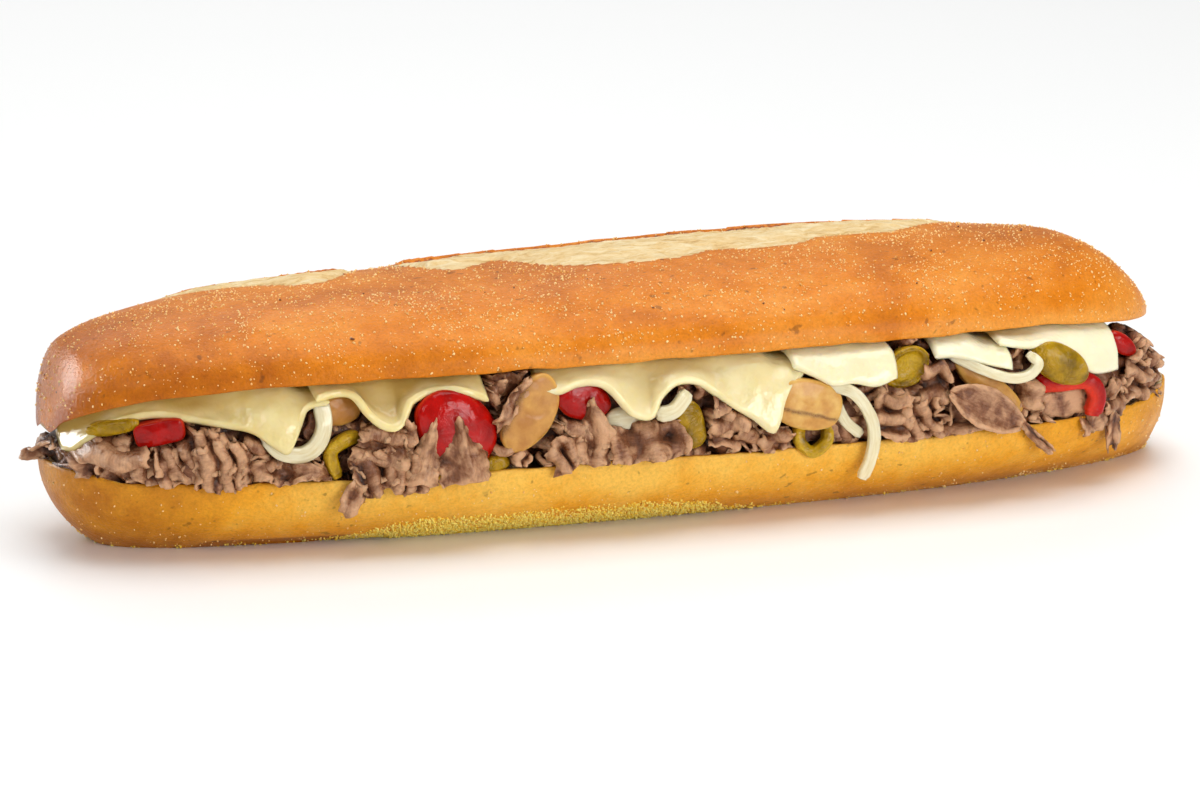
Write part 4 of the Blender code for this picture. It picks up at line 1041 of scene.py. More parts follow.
def slab(item, seed):
    """Points, faces and painted values of a cut piece with a broad face."""
    width, height = item["size"]
    power, bite = item.get("power", 2.0), item.get("bite", 0.0)
    thick, dome, flat = item["thick"], item.get("dome", 0.6), item.get("flat", 2.2)
    dish = item.get("dish", 0.0)
    rim_round = item.get("round", RIM_ROUND)
    inset = rim_round / (min(width, height) / 2)
    layers = [(r * (1 - inset), dome * (1 - (r * (1 - inset)) ** flat) - dish * (1 - r ** 3),
               r ** 4 if dish else 1.0) for r in SLAB_RINGS]
    for k in range(RIM_STEPS + 1):
        turn = math.pi / 2 * k / RIM_STEPS
        reach = 1 - inset * (1 - math.sin(turn))
        depth = dome * (1 - reach ** flat) - rim_round * (1 - math.cos(turn))
        layers.append((reach, depth, 1 - k / RIM_STEPS))
    layers += [(0.99, -thick * 0.5, 0.0), (0.94, -thick * 0.9, 0.0),
               (0.8, -thick, 0.0), (0.4, -thick, 0.0)]
    local, paint = [], {"across": [], "along": [], "skin": []}
    for scale, depth, skin in layers:
        for i in range(SLAB_SIDES):
            turn = 2 * math.pi * i / SLAB_SIDES
            reach = 1 - bite * max(0.0, math.cos(turn - BITE_AT)) ** 2
            reach *= 1 + 0.05 * bumps(math.cos(turn) * 3, math.sin(turn) * 3, seed, 0.5, seed)
            x = width / 2 * reach * scale * signed_power(math.cos(turn), 2 / power)
            y = height / 2 * reach * scale * signed_power(math.sin(turn), 2 / power)
            rise = 0.35 * bumps(x, y, seed * 5, 0.22) + 0.12 * bumps(x, y, seed * 5, 0.8)
            local.append((x, y, depth + rise * (0.4 + 0.6 * skin)))
            paint["along"].append(x)
            paint["across"].append(y)
            paint["skin"].append(skin)
    count = len(local)
    faces = ring_faces(0, len(layers), SLAB_SIDES)
    faces += fan_faces(0, SLAB_SIDES, count, True) + fan_faces(count - SLAB_SIDES, SLAB_SIDES, count + 1)
    local += [(0.0, 0.0, dome - dish), (0.0, 0.0, -thick)]
    for key, values in paint.items():
        values += [0.0 if dish else 1.0, 0.0] if key == "skin" else [0.0, 0.0]
    return placed(local, item), [f[::-1] for f in faces] if item.get("far") else faces, paint


BAND_SIDES = 28
BAND_STEP = 0.4


def smooth_path(route, steps):
    """Evenly counted points on a smooth curve through the points of the route."""
    lines = [[(m, p[axis]) for m, p in enumerate(route)] for axis in range(3)]
    places = [(len(route) - 1) * i / steps for i in range(steps + 1)]
    return [Vector([along(line, place) for line in lines]) for place in places]


def band(item, seed):
    """Points, faces and painted values of a strip or part ring: a rounded bar along the route."""
    route = item["route"]
    rough_length = sum((Vector(a) - Vector(b)).length for a, b in zip(route, route[1:]))
    path = smooth_path(route, max(12, round(rough_length / BAND_STEP)))
    wide, deep, power = item["wide"], item["deep"], 2 / item["square"]
    local, paint = [], {"across": [], "along": [], "skin": []}
    travelled = 0.0
    for i, p in enumerate(path):
        ahead = path[min(i + 1, len(path) - 1)] - path[max(i - 1, 0)]
        side = Vector((-ahead.y, ahead.x, 0)).normalized()
        travelled += (p - path[i - 1]).length if i else 0.0
        from_end = min(travelled, rough_length - travelled)
        end = mix(0.72, 1.0, smoothstep(0.0, 1.2, from_end))
        width = wide / 2 * end * (1 + 0.08 * bumps(travelled, seed * 9, 0, 0.25))
        for k in range(BAND_SIDES):
            turn = 2 * math.pi * k / BAND_SIDES
            across = signed_power(math.cos(turn), power)
            depth = signed_power(math.sin(turn), power)
            lift = 0.12 * bumps(p.x, p.y, across + seed * 3, 0.6)
            rise = -deep / 2 + depth * deep / 2 * end + lift
            local.append(p + side * across * width + Vector((0, 0, rise)))
            paint["along"].append(travelled)
            paint["across"].append(across * wide / 2)
            paint["skin"].append(across * 0.5 + 0.5)
    count = len(local)
    faces = [f[::-1] for f in ring_faces(0, len(path), BAND_SIDES)]
    faces += fan_faces(0, BAND_SIDES, count) + fan_faces(count - BAND_SIDES, BAND_SIDES, count + 1, True)
    tips = ((0, BAND_SIDES, path[0] - path[1]), (count - BAND_SIDES, count, path[-1] - path[-2]))
    for first, last, outward in tips:
        local.append(sum(local[first:last], Vector()) / BAND_SIDES + outward.normalized() * 0.3)
        paint["along"].append(paint["along"][first])
        paint["across"].append(0.0)
        paint["skin"].append(0.5)
    return placed(local, item), [f[::-1] for f in faces] if item.get("far") else faces, paint


# %% [markdown]
# Each kind of vegetable has its own finish. Pepper skin is smooth and wet, so it takes a clear coat,
# and its cut flesh is paler and duller. Onion lets light through and has fine lines along each strip.
# Mushroom is matt, with brown gills, which run across the slice as fine dark lines.

# %% Finishes of the vegetables


def own_grain(r, lump_mm, stretch, detail=3.0):
    """Noise that follows the piece: lumps stretched along it by the stated factor."""
    place = r.add("ShaderNodeCombineXYZ")
    r.join(r.sum_up("MULTIPLY", r.painted("along"), MM / stretch), place, "X")
    r.join(r.sum_up("MULTIPLY", r.painted("across"), MM), place, "Y")
    r.join(r.sum_up("MULTIPLY", r.axis("Y"), 0.5), place, "Z")
    return r.grain(lump_mm, detail, place.outputs["Vector"])


def pepper_finish(name, skin, deep, flesh, wrinkle):
    r = Recipe(name)
    mottle = r.grain(5.0, 4.0)
    skin_colour = r.ramp(mottle, (0.32, deep), (0.62, skin))
    flesh_colour = r.blend(0.5, flesh, r.ramp(r.grain(0.7, 3.0), (0.35, 0.65), (0.65, 1.0)), "MULTIPLY")
    is_skin = r.spread(r.painted("skin"), 0.25, 0.6, 0.0, 1.0)
    colour = r.blend(is_skin, flesh_colour, skin_colour)
    dimples = r.relief(r.grain(1.6, 3.0), 0.12, r.relief(r.grain(3.6, 2.0, warp=1.5), wrinkle))
    rough = r.spread(is_skin, 0.0, 1.0, 0.30, 0.16)
    return r.finish(colour, rough, dimples, IOR=1.42, Specular_IOR_Level=0.22,
                    Coat_Weight=0.16, Coat_Roughness=0.04, Subsurface_Weight=0.15,
                    Subsurface_Scale=0.002, Subsurface_Radius=(1.0, 0.4, 0.2))


def onion_finish():
    r = Recipe("cooked onion")
    lines = own_grain(r, 0.55, 9.0)
    colour = r.ramp(lines, (0.3, (0.78, 0.64, 0.36)), (0.6, (0.88, 0.78, 0.52)))
    ridges = r.relief(lines, 0.05)
    return r.finish(colour, 0.17, r.relief(r.grain(1.2, 2.0), 0.05, ridges), IOR=1.38,
                    Transmission_Weight=0.12, Subsurface_Weight=0.5, Subsurface_Scale=0.004,
                    Subsurface_Radius=(1.0, 0.9, 0.6), Coat_Weight=0.4, Coat_Roughness=0.06)


def mushroom_finish():
    r = Recipe("cooked mushroom")
    cloud = r.grain(3.4, 3.0)
    tone = r.sum_up("SUBTRACT", cloud, r.sum_up("MULTIPLY", r.painted("cooked"), 0.26))
    colour = r.ramp(tone, (0.1, (0.44, 0.18, 0.03)), (0.4, (0.59, 0.29, 0.06)),
                    (0.7, (0.72, 0.44, 0.12)))
    rim = r.spread(r.painted("skin"), 0.9, 0.4, 0.0, 1.0)
    colour = r.blend(r.sum_up("MULTIPLY", rim, 0.6), colour, (0.82, 0.48, 0.11))
    gill_line = r.painted("gills")
    gills = own_grain(r, 0.5, 0.25)
    brown = r.ramp(gills, (0.35, (0.16, 0.06, 0.02)), (0.62, (0.42, 0.21, 0.07)))
    colour = r.blend(gill_line, colour, brown)
    relief = r.relief(r.sum_up("MULTIPLY", gills, gill_line), 0.5, r.relief(r.grain(0.8, 3.0), 0.05))
    return r.finish(colour, 0.36, relief, IOR=1.4, Subsurface_Weight=0.25, Subsurface_Scale=0.003,
                    Subsurface_Radius=(1.0, 0.6, 0.25), Coat_Weight=0.12, Coat_Roughness=0.2)


red_flesh = pepper_finish("red pepper", skin=(0.46, 0.004, 0.002), deep=(0.26, 0.002, 0.001),
                          flesh=(0.66, 0.03, 0.008), wrinkle=0.3)
green_flesh = pepper_finish("green pepper", skin=(0.42, 0.24, 0.003), deep=(0.13, 0.070, 0.002),
                            flesh=(0.56, 0.34, 0.015), wrinkle=1.2)
onion_flesh = onion_finish()
mushroom_flesh = mushroom_finish()
print("finishes:", [f.name for f in (red_flesh, green_flesh, onion_flesh, mushroom_flesh)])

# %% [markdown]
# Now the pieces themselves are made, one mesh for each, because each replaces a solid of its own. The
# mushrooms get two more painted values. One says how well cooked a slice is, and the other draws its
# gills, which show as one soft, dark line across the cut face.

# %% Cut pieces
COOKED = {1: 1.0, 2: 0.1, 3: 0.7, 4: 1.2, 5: 0.8, 6: 0.3}
GILLS = {1: (0.5, 5.2, 1.0), 2: (0.4, -2.2, 0.4), 5: (0.5, 5.2, 1.0), 6: (0.4, -1.5, 0.4)}


def gill_values(number, paint):
    """How strongly gills show at each point: a line across the slice, bent by its middle height."""
    if number not in GILLS:
        return [0.0] * len(paint["along"])
    slope, height, width = GILLS[number]
    values = []
    for x, y, skin in zip(paint["along"], paint["across"], paint["skin"]):
        away = (y - height + slope * x * 0.12 + 0.5 * bumps(x, y, 0, 0.4)) / width
        values.append(math.exp(-away * away) * (1.0 if skin > 0.3 else 0.4))
    return values


def make_cut_pieces(kind, items, finish):
    for number, item in enumerate(items, start=1):
        shape = band if "route" in item else slab
        item = {**item, "square": 6.0 if kind == "onion" else 3.2}
        points, faces, paint = shape(item, number * 1.7)
        if kind == "mushroom":
            paint["gills"] = gill_values(number, paint)
            paint["cooked"] = [COOKED[number]] * len(points)
        make_piece(f"{kind}_piece_{number}", points, faces, finish, [f"{kind}_{number}"], paint)


make_cut_pieces("red_pepper", RED_PEPPERS, red_flesh)
make_cut_pieces("green_pepper", GREEN_PEPPERS, green_flesh)
make_cut_pieces("onion", ONIONS, onion_flesh)
make_cut_pieces("mushroom", MUSHROOMS, mushroom_flesh)

# %% [markdown]
# Shaved steak is a heap of thin slices, crumpled and torn as they were chopped on the griddle. The
# packed middle is one dark, lumpy core. Around it lie about three hundred slices, each bent into
# folds along its length by letting its heading swing to and fro, then roughened and torn at its edge.
# Random draws are seeded, so the heap is the same each time.

# %% Finish of the steak


def steak_finish(name, dark, brown, light):
    r = Recipe(name)
    fibres = own_grain(r, 0.5, 7.0, 4.0)
    clots = r.grain(3.2, 4.0, warp=0.8)
    tone = r.sum_up("ADD", r.sum_up("MULTIPLY", clots, 0.72), r.sum_up("MULTIPLY", fibres, 0.30))
    tone = r.sum_up("ADD", tone, r.painted("tone"))
    colour = r.ramp(tone, (0.22, dark), (0.52, brown), (0.86, light))
    grain_relief = r.relief(fibres, 0.16)
    pits = r.relief(r.grain(1.5, 3.0), 0.42, grain_relief)
    crumbs = r.relief(r.grain(0.55, 3.0, rough=0.7), 0.22, pits)
    rough = r.spread(clots, 0.35, 0.65, 0.26, 0.46)
    return r.finish(colour, rough, crumbs, IOR=1.4, Specular_IOR_Level=0.4, Coat_Weight=0.10,
                    Coat_Roughness=0.15, Subsurface_Weight=0.10, Subsurface_Scale=0.0015,
                    Subsurface_Radius=(1.0, 0.35, 0.2))


shaved_finish = steak_finish("shaved steak", dark=(0.036, 0.010, 0.004), brown=(0.205, 0.074, 0.030),
                             light=(0.62, 0.345, 0.185))
print("finish:", shaved_finish.name)

# %% [markdown]
# A slice must not poke through what holds it. Three limits keep the heap honest: the cut face and rim
# of the lower half, the underside of the hanging cheese, and the backs of the vegetables that lie in
# front of the steak. Points that go past a limit are moved back to it, as a soft slice would give way.

# %% Limits that the slices keep
CLEAR = 0.35
HEAP_END = 151.6
NO_LIMIT = 99.0


def cheese_limit(x, z, far):
    """How far out a point may lie at x, z before it would go through the hanging cheese."""
    limit = NO_LIMIT
    for cheese in CHEESE_SLICES:
        edge = [(p[0], p[1]) for p in cheese["edge"]] if not far else cheese["far"]
        if not edge[0][0] - 1.5 < x < edge[-1][0] + 1.5:
            continue
        dip_start = cheese["edge"][-1][0] - CHEESE_LAP if cheese.get("under") else None
        top = cheese_top(x, dip_start)
        free = min(along(edge, x), top - LEAST_DROP)
        if z < free - 1.0:
            continue
        out = along([(p[0], p[2]) for p in cheese["edge"]], x) if not far else 1.2
        belly = along(cheese["belly"], x) if not far else 0.4
        curve = hanging_curve(x, top, free, out, belly, 10)
        reach = next((y for y, height in curve[::-1] if height >= z), curve[0][0])
        limit = min(limit, reach - CHEESE_THICKNESS / 2 - CLEAR)
    return limit


def topping_boxes():
    """The room of each vegetable: its lowest and highest x and z, its back, and its side."""
    boxes = []
    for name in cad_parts:
        if name.startswith(("red_pepper", "green_pepper", "onion", "mushroom")):
            low, high = (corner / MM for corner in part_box(name))
            far = low.y > 0
            boxes.append((low.x, high.x, low.z, high.z, low.y if far else -high.y, far))
    return boxes


TOPPING_ROOM = topping_boxes()
print("vegetables that the slices keep clear of:", len(TOPPING_ROOM))


def topping_limit(x, z, far):
    """How far out a point may lie at x, z before it would go into a vegetable on its side."""
    limit = NO_LIMIT
    for x0, x1, z0, z1, back, side in TOPPING_ROOM:
        if side != far:
            continue
        across = abs((x - (x0 + x1) / 2) / ((x1 - x0) / 2 + 0.4))
        upward = abs((z - (z0 + z1) / 2) / ((z1 - z0) / 2 + 0.4))
        if across ** 2.4 + upward ** 2.4 < 1:
            limit = min(limit, back + 0.6)
    return limit


HEAP_ROOF = [(-158, 26), (-151, 28.6), (-146, 30.5), (-140, 36), (-133, 40.5), (-125, 42.5), (-110, 43.7),
             (80, 44.6), (102, 44.2), (120, 42), (130, 40), (136, 37), (142, 32), (147, 28), (153, 24)]


def under_cheese(x):
    """Height of the underside of the lowest cheese slice at x, or a height above them all."""
    lowest = NO_LIMIT
    for cheese in CHEESE_SLICES:
        if cheese["edge"][0][0] - 1 < x < cheese["edge"][-1][0] + 1:
            dip_start = cheese["edge"][-1][0] - CHEESE_LAP if cheese.get("under") else None
            lowest = min(lowest, cheese_top(x, dip_start) - CHEESE_THICKNESS / 2 - CLEAR)
    return lowest


def kept_in(point, in_front, tucked=False, layer=0.0):
    """A point moved back inside the limits; in_front slices lie over the rim, and over the vegetables.

    Each slice has its own layer, a small distance that keeps pressed slices from lying in one another.
    """
    x, y, z = point
    far = y > 0
    out = abs(y)
    x = min(x, HEAP_END)
    rim = half_width(x, HEEL_PLAN)
    rim_top = rim_height(x)
    floor = rim_top + rim_wave(x, y) + 0.2
    if in_front:
        beyond = x < HEEL_PLAN["left"] + 1 or x > HEEL_PLAN["right"] - 1 or out > rim - 0.6
        if not beyond:
            z = max(z, floor - RIM_DIP * (1 - (out / rim) ** 2) * 0.5)
        elif z < rim_top + 1.2 and out < rim + 1.4 and HEEL_PLAN["left"] < x < HEEL_PLAN["right"]:
            out = rim + 1.4 + 0.4 * (rim_top - z) / rim_top
    else:
        out = min(out, rim + 1.2)
        z = max(z, floor + (0.9 if out > rim - 1 else -RIM_DIP * (1 - (out / max(rim, 1.0)) ** 2) * 0.5))
    limit = cheese_limit(x, z, far)
    if tucked or not in_front:
        limit = min(limit, topping_limit(x, z, far))
    if out > limit - layer - 1.0:
        out = limit - layer - math.exp(limit - layer - 1.0 - out)
    z = min(z, along(HEAP_ROOF, x) - 0.3 * bumps(x, out, 0, 0.3), under_cheese(x))
    return (x, out if far else -out, z)


# %% [markdown]
# Between the outer slices nothing may shine through, so the middle of the heap is filled by one solid
# core. It could be left as the plain solid, but a lumpy skin in the colour of the meat makes every gap
# between two slices look like more meat; it is painted darker all over, as painted shade deep in the
# heap. It stays a few millimetres inside the roll, the cheese and the vegetables, and where the far
# right end leaves it bare it is painted lighter.

# %% The imported core
CORE_INSET = 3.4
CORE_STATIONS = 320
CORE_POINTS = 110
CORE_POWER = 0.55


def make_core():
    left, right_end = HEEL_PLAN["left"] + CORE_INSET, HEEL_PLAN["right"] - CORE_INSET
    points, paint = [], {"along": [], "across": [], "tone": []}
    places = spaced(left, right_end, CORE_STATIONS)
    for x in places:
        half = max(1.0, half_width(x, HEEL_PLAN) - CORE_INSET)
        low = RIM_HEIGHT - 0.6
        high = max(rim_height(x) + 1.2, min(cheese_top(x) - 2.4, along(HEAP_ROOF, x) - 2.5))
        for k in range(CORE_POINTS):
            turn = 2 * math.pi * k / CORE_POINTS
            c, s = math.cos(turn), math.sin(turn)
            y = half * signed_power(c, CORE_POWER)
            z = (low + high) / 2 + (high - low) / 2 * signed_power(s, CORE_POWER)
            lump = 1.5 * bumps(x, y, z, 0.16) + bumps(x, y, z, 0.4, 3.0)
            lump += 0.35 * bumps(x, y, z, 1.1, 6.0)
            out = abs(y + lump * c)
            out = min(out, topping_limit(x, z, y > 0) - 0.4, cheese_limit(x, z, y > 0) - 0.4)
            points.append((x, math.copysign(max(0.0, out), y), z))
            paint["along"].append(x)
            paint["across"].append(z)
            # Painted shade: the core is darker all over, as it lies deep in the heap, and painted lighter
            # where the far right end leaves it bare.
            bare_end = 0.2 * smoothstep(110, 135, x) if y > 0 else 0.0
            paint["tone"].append(-0.15 + 0.05 * lump + bare_end)
    faces = [f[::-1] for f in ring_faces(0, len(places), CORE_POINTS)]
    faces += [tuple(range(CORE_POINTS)), tuple(range(len(points) - CORE_POINTS, len(points)))[::-1]]
    return make_piece("steak_core", points, faces, shaved_finish, ["steak"], paint)


make_core()

# %% [markdown]
# One slice is a grid of points. Walking along it, a heading swings to and fro, as a hand does when it
# folds a ribbon, and so the folds never stretch the meat. Lumps, a ruffled border and torn ends are
# added on top. A cloth simulation would crumple it too, but it takes long and gives little say over
# where a fold lies. The value called tone is lighter along the torn edge, and it carries painted shade
# in the folds and deep inside the rim, and painted light on the crests.

# %% One crumpled slice
SLICE_CELL = 0.72
SLICE_THICKNESS = 0.95
LAYER_SPREAD = 1.6


def crumpled(item, seed):
    """A torn slice folded along its length and ruffled along its edges, as a grid of points."""
    length, width = item["size"]
    rows, columns = max(14, round(length / SLICE_CELL)), max(9, round(width / SLICE_CELL))
    swing, folds, curl = item.get("swings", 1.2), item.get("folds", 1.6), item.get("curl", 0.0)
    ruffle, taper, rough = item.get("ruffle", 0.8), item.get("taper", 0.3), item.get("rough", 1.0)
    ridge, calm = item.get("ridge", 0.0), item.get("calm", 1.0)
    local = np.zeros((rows, columns, 3))
    for j in range(columns):
        v = j / (columns - 1) - 0.5
        forward, outward = 0.0, 0.0
        for i in range(rows):
            u = i / (rows - 1)
            to_and_fro = math.sin(2 * math.pi * (folds * u + 0.11 * v * folds) + seed * 1.7)
            heading = swing * to_and_fro + curl * (u - 0.5)
            heading += 0.7 * calm * bumps(u * length * 0.24, v * 2.0, seed * 3.1, 1.0)
            forward += math.cos(heading) * length / (rows - 1)
            outward += math.sin(heading) * length / (rows - 1)
            torn_end = rough * 2.0 * bumps(v * width * 0.3, u, seed * 2.9, 1.0) * (2 * u - 1) ** 3
            ragged = 1 + rough * (0.22 * bumps(u * 5, v * 3, seed * 5.3, 1.0)
                                  + 0.10 * bumps(u * length * 0.8, v * 6, seed, 1.0))
            narrow = 1 - taper * abs(2 * u - 1) ** 2.5
            if item.get("point"):
                narrow = mix(0.10, 1.0, smoothstep(-0.1, 0.85, u))
            lump = rough * (0.75 * bumps(u * length * 0.26, v * width * 0.26, seed * 2.3, 1.0)
                            + 0.32 * bumps(u * length * 0.7, v * width * 0.7, seed * 4.1, 1.0)
                            + 0.13 * bumps(u * length * 1.7, v * width * 1.7, seed * 6.1, 1.0))
            frill = ruffle * smoothstep(0.18, 0.5, abs(v)) * math.sin(u * length * 1.3 + seed + 6 * lump)
            tent = ridge * (1 - 2 * abs(v))
            local[i, j] = (forward + torn_end, v * width * narrow * ragged,
                           outward + lump * 1.3 + frill + tent)
    local[..., 0] -= local[..., 0].mean()
    local[..., 2] -= local[..., 2].mean()
    return local


def painted_fold_shading(outward):
    """Painted shade in a slice's folds and painted light on its crests, from how far each point stands
    out.
    """
    near = outward.copy()
    for _ in range(4):
        padded = np.pad(near, 2, mode="edge")
        near = (padded[:-4, 2:-2] + padded[4:, 2:-2] + padded[2:-2, :-4] + padded[2:-2, 4:] + near) / 5
    return np.clip(0.22 * (outward - near), -0.30, 0.22)


def slice_mesh(item, seed, own_tone, in_front):
    """Points, faces and painted values of one slice where it lies in the heap."""
    local = crumpled(item, seed)
    rows, columns = local.shape[:2]
    set_down = placed([tuple(p) for p in local.reshape(-1, 3)], item)
    layer = LAYER_SPREAD * (seed * 0.618 % 1)
    grid = np.array([kept_in(p, in_front, item.get("tucked", False), layer) for p in set_down])
    grid = grid.reshape(rows, columns, 3)
    points, faces = rounded_sheet(grid, SLICE_THICKNESS, 1, 0.35)
    i, j = np.meshgrid(np.arange(rows), np.arange(columns), indexing="ij")
    border = np.minimum(np.minimum(i, rows - 1 - i), np.minimum(j, columns - 1 - j))
    rims = np.array([half_width(x, HEEL_PLAN) for x in grid[..., 0].ravel()]).reshape(rows, columns)
    depth = np.clip((rims - 0.2 - np.abs(grid[..., 1])) / 6.0, 0, 1)
    bare = item.get("tone", 0.16 * (1 - item.get("calm", 1.0)))
    torn_edge = np.select([border == 0, border == 1, border == 2], [0.27, 0.16, 0.07], 0.0)
    tone = own_tone + bare + torn_edge
    # Painted shade in the folds and deeper inside the rim, and painted light on the crests.
    tone += painted_fold_shading(local[..., 2]) - 0.30 * depth
    paint = {"along": np.tile(local[..., 0].ravel(), 2), "across": np.tile(local[..., 1].ravel(), 2),
             "tone": np.tile(tone.ravel(), 2)}
    return points, faces, paint


def make_heap(name, items, seed, in_front=False):
    """Joins many slices into one piece."""
    rng = random.Random(seed)
    points, faces, paint = [], [], {"along": [], "across": [], "tone": []}
    for number, item in enumerate(items):
        own_tone = rng.uniform(-0.10, 0.10)
        made, made_faces, made_paint = slice_mesh(item, seed + number * 0.83, own_tone, in_front)
        first = len(points)
        points += [tuple(p) for p in made]
        faces += [tuple(first + i for i in face) for face in made_faces]
        for key in paint:
            paint[key] += made_paint[key].tolist()
    return make_piece(name, points, faces, shaved_finish, ["steak"], paint)


# %% [markdown]
# The slices all round the heap lie in five rows, one above the other, with a spacing that varies a
# little. Their sizes, turns and folds are drawn at random within what the real meat shows. A particle
# system would strew them faster, but here each one can be kept clear of the roll, the cheese and the
# vegetables. At the far right end, where the roll opens widest, a few more are set one by one.

# %% The slices all round the heap


def set_by_hand(x, z, out, size, turn, swings, folds, **more):
    """A slice at x and height z: how far it stands out, its size, turn, and how it swings and folds."""
    return {"at": (x, z), "out": out, "size": size, "turn": turn, "swings": swings, "folds": folds,
            **more}


def scattered_slices(rng, far, rows):
    """Rows of slices; each row has a height, how far it stands out and the distance between slices."""
    items = []
    for row, (height, depth, spacing) in enumerate(rows):
        x = -146.0 + 3 * row
        while x < 149:
            steep = rng.random() < 0.55
            items.append({
                "at": (x, min(height, along(HEAP_ROOF, x) - 3.5) + rng.uniform(-1.4, 1.4)),
                "out": depth + rng.uniform(-1.0, 1.4),
                "size": (rng.uniform(14, 24), rng.uniform(6, 11)), "far": far,
                "ruffle": rng.uniform(0.5, 1.4),
                "turn": rng.uniform(60, 120) if steep and row else rng.uniform(-30, 30),
                "lean": rng.uniform(-45, 45),
                "swing": rng.uniform(-35, 35) + (60 if abs(x) > 140 else 0),
                "swings": rng.uniform(0.8, 1.6), "folds": rng.uniform(1.2, 2.8),
                "curl": rng.uniform(-1.5, 1.5), "rough": rng.uniform(0.5, 1.1),
            })
            x += rng.uniform(0.75, 1.25) * spacing
    return items


ROWS = [(21.6, -1.6, 11.0), (26.2, -1.9, 12.5), (31.2, -2.5, 13.0), (36.0, -3.6, 13.0),
        (40.6, -5.6, 13.0)]
FAR_END = [(117, 37, 20), (123, 33, -15), (127, 37.5, 35), (131, 29, 5), (133, 36, 80), (137, 33, -20),
           (139, 27, 20), (141, 30.5, 75), (144, 25.5, 85), (146, 28, -30), (148, 24, 60)]
END_FACE = [(149.4, 17, 24, 10), (150.2, 8, 26, 80), (150.4, 1, 22.5, -15), (148.6, 14, 28, 40),
            (147.6, 22, 22.5, 70)]
heap_rng = random.Random(21)
make_heap("shaved_steak_front", scattered_slices(heap_rng, False, ROWS), 3)
back_slices = scattered_slices(heap_rng, True, ROWS)
for x, z, turn in FAR_END:
    to_rim = half_width(x, HEEL_PLAN) - filling_half(x) - 0.8
    round_the_end = mix(0, -55, smoothstep(120, 148, x))
    back_slices.append(set_by_hand(x, z, to_rim, (18, 11), turn, 1.2, 2.0, lean=-20,
                                   swing=round_the_end, far=True))
for x, y, z, turn in END_FACE:
    back_slices.append(set_by_hand(x, z, y - filling_half(x), (16, 9), turn, 1.2, 2.0, swing=-80,
                                   far=True))
make_heap("shaved_steak_back", back_slices, 71)
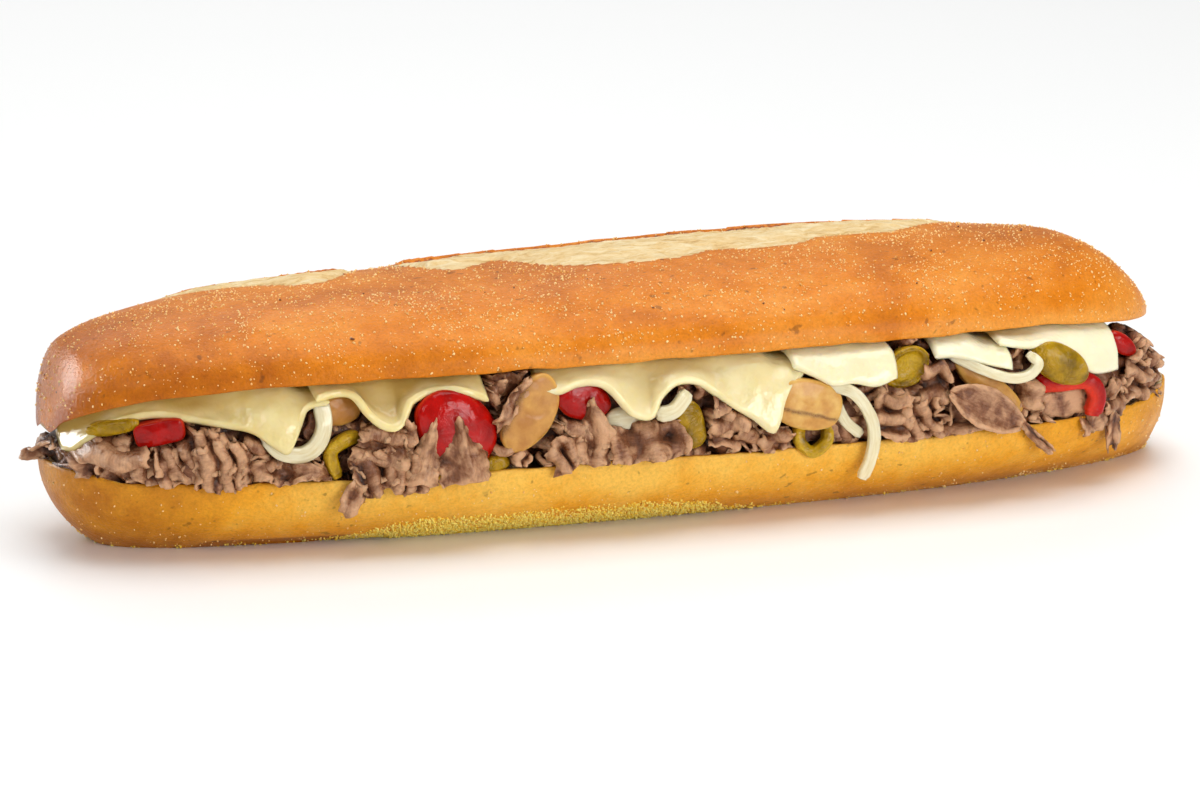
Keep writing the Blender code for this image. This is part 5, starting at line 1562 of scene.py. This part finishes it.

# %% [markdown]
# Some slices stand out because the eye lands on them: the knobbly clump that hangs over the rim at
# the left, a folded flap beside it, the smooth leaf-shaped slice with a tail at the right, and the
# pulled bits at both ends. They are placed one by one, larger or smaller than the rest.

# %% Slices that hang over the rim
HANGING = [
    set_by_hand(-151.5, 24.6, 1.6, (15, 3.4), 4, 0.5, 1.0, lean=30, swing=-40),
    set_by_hand(-150.5, 28.0, 0.2, (12, 3.6), -12, 0.7, 1.0, swing=-52),
    set_by_hand(-146, 25, 0.8, (16, 8), 6, 0.9, 1.5, swing=-50),
    set_by_hand(-139, 27.6, 1.0, (15, 19), 84, 1.5, 0.9, lean=-30, ruffle=0.4, rough=0.6,
                tucked=True),
    set_by_hand(-129, 24.6, 1.2, (17, 9), -6, 1.2, 1.8, swing=-24, tucked=True),
    set_by_hand(-121.5, 28.0, 1.2, (31, 13), 4, 1.4, 4.2, swing=-18, lean=-8, ruffle=1.2,
                tucked=True),
    set_by_hand(-114.5, 25.0, 2.0, (24, 14), 8, 1.35, 3.2, swing=-14, lean=-6, ruffle=1.2,
                tucked=True),
    set_by_hand(-105, 27.5, 0.4, (19, 9), 78, 1.2, 2.2, lean=-14, tucked=True),
    set_by_hand(-99, 23.2, 1.7, (25, 6.5), -2, 1.1, 1.7, swing=-12, lean=-24, ruffle=1.2,
                tucked=True),
    set_by_hand(-76, 27, 1.8, (22, 14), 70, 1.3, 2.6, lean=-10, rough=1.3),
    set_by_hand(-77, 22.5, 2.4, (18, 11), 20, 1.3, 2.4, lean=-12, rough=1.3),
    set_by_hand(-69, 21, 2.6, (18, 10), -12, 1.4, 2.8, lean=-6, rough=1.3),
    set_by_hand(-83.4, 15.6, 2.4, (12, 5.5), 62, 0.8, 1.4, lean=-4),
    set_by_hand(-71, 30, 1.2, (17, 8), 84, 1.2, 2.2, lean=-8),
    set_by_hand(-65, 26.4, 3.0, (17, 9), -104, 0.3, 0.8, lean=20, point=True, ridge=1.6,
                rough=1.1, ruffle=0.9, calm=0.4),
    set_by_hand(-56.0, 26.8, 3.4, (17, 13.5), -82, 0.25, 0.7, lean=-8, point=True, ridge=3.4,
                rough=1.0, ruffle=0.9, calm=0.4),
    set_by_hand(-42.6, 37.4, 1.4, (16, 3.8), 54, 0.6, 1.6, rough=1.3, calm=0.5),
    set_by_hand(-45, 41.0, -2.4, (20, 6), 12, 0.9, 2.2, tucked=True),
    set_by_hand(-46.5, 37.0, -0.8, (15, 7), 50, 1.0, 1.8, tucked=True),
    set_by_hand(-21.2, 30.2, 1.2, (15, 8.5), -80, 0.8, 1.4, point=True, ridge=1.8, calm=0.6),
    set_by_hand(-29.4, 23.4, 1.8, (14, 9), 30, 1.2, 2.2, lean=-10),
    set_by_hand(-22, 23.6, 1.2, (14, 8), -12, 1.1, 2.0, lean=-10),
    set_by_hand(-7.6, 25, 1.4, (23, 10), 3, 0.7, 2.0, lean=-10, rough=1.0, taper=0.1, ruffle=0.9,
                calm=0.8),
    set_by_hand(14, 28.5, 0.8, (19, 11), 76, 1.2, 2.2, lean=-10),
    set_by_hand(20, 26, 0.8, (16, 8), 58, 1.2, 2.0),
    set_by_hand(26, 22.4, 1.2, (13, 6), 16, 1.1, 2.0),
    set_by_hand(46.5, 24.5, -0.4, (14, 9), 70, 1.0, 1.6, tucked=True),
    set_by_hand(58, 26.4, 1.4, (19, 11), 74, 1.3, 2.4, lean=-8, rough=1.2),
    set_by_hand(66, 24.6, 1.3, (20, 10), 18, 1.3, 2.6, lean=-6, rough=1.2),
    set_by_hand(70, 33, 0.4, (19, 8), 80, 1.1, 2.0, lean=-6),
    set_by_hand(76, 21.8, 1.2, (17, 4.5), 4, 0.9, 2.2),
    set_by_hand(83.8, 26.0, 3.4, (24, 10.5), -27, 0.15, 0.6, lean=-10, taper=0.75, rough=0.4,
                ruffle=0.25, calm=0.15, ridge=-1.2),
    set_by_hand(98.8, 16.6, 2.4, (13, 2.6), -46, 0.3, 0.7, lean=-4),
    set_by_hand(101, 26.4, 2.0, (19, 7.5), -16, 0.8, 1.6, lean=-12, calm=0.6, tucked=True),
    set_by_hand(110, 23.4, 1.6, (18, 8), 6, 1.0, 2.0, lean=-12, tucked=True, tone=0.3),
    set_by_hand(104, 21.6, 0.6, (16, 4), -4, 1.0, 2.0, tucked=True),
    set_by_hand(117.5, 17.8, 1.6, (10, 6), 20, 0.9, 1.4, tucked=True),
    set_by_hand(124.6, 22.4, 2.0, (16, 8.5), 80, 1.2, 2.0, lean=14, tucked=True),
    set_by_hand(124.4, 13.8, 2.3, (12, 4.2), 84, 0.6, 1.2, lean=-4),
    set_by_hand(134, 26.4, 1.6, (18, 11), 74, 1.2, 2.2, lean=22),
    set_by_hand(141, 24, 1.6, (17, 9), 84, 1.2, 2.2, lean=36),
    set_by_hand(146.5, 22.6, 0.8, (13, 6), 10, 1.0, 1.8, swing=56),
    set_by_hand(135.6, 35.6, 0.0, (9, 3.6), 40, 0.9, 1.2, swing=20),
    set_by_hand(-66, 20, 2.0, (18, 12), 20, 1.1, 2.0, lean=-10, far=True),
    set_by_hand(52, 19, 2.0, (17, 12), -16, 1.1, 2.0, lean=-10, far=True),
]
make_heap("shaved_steak_hanging", HANGING, 9, True)
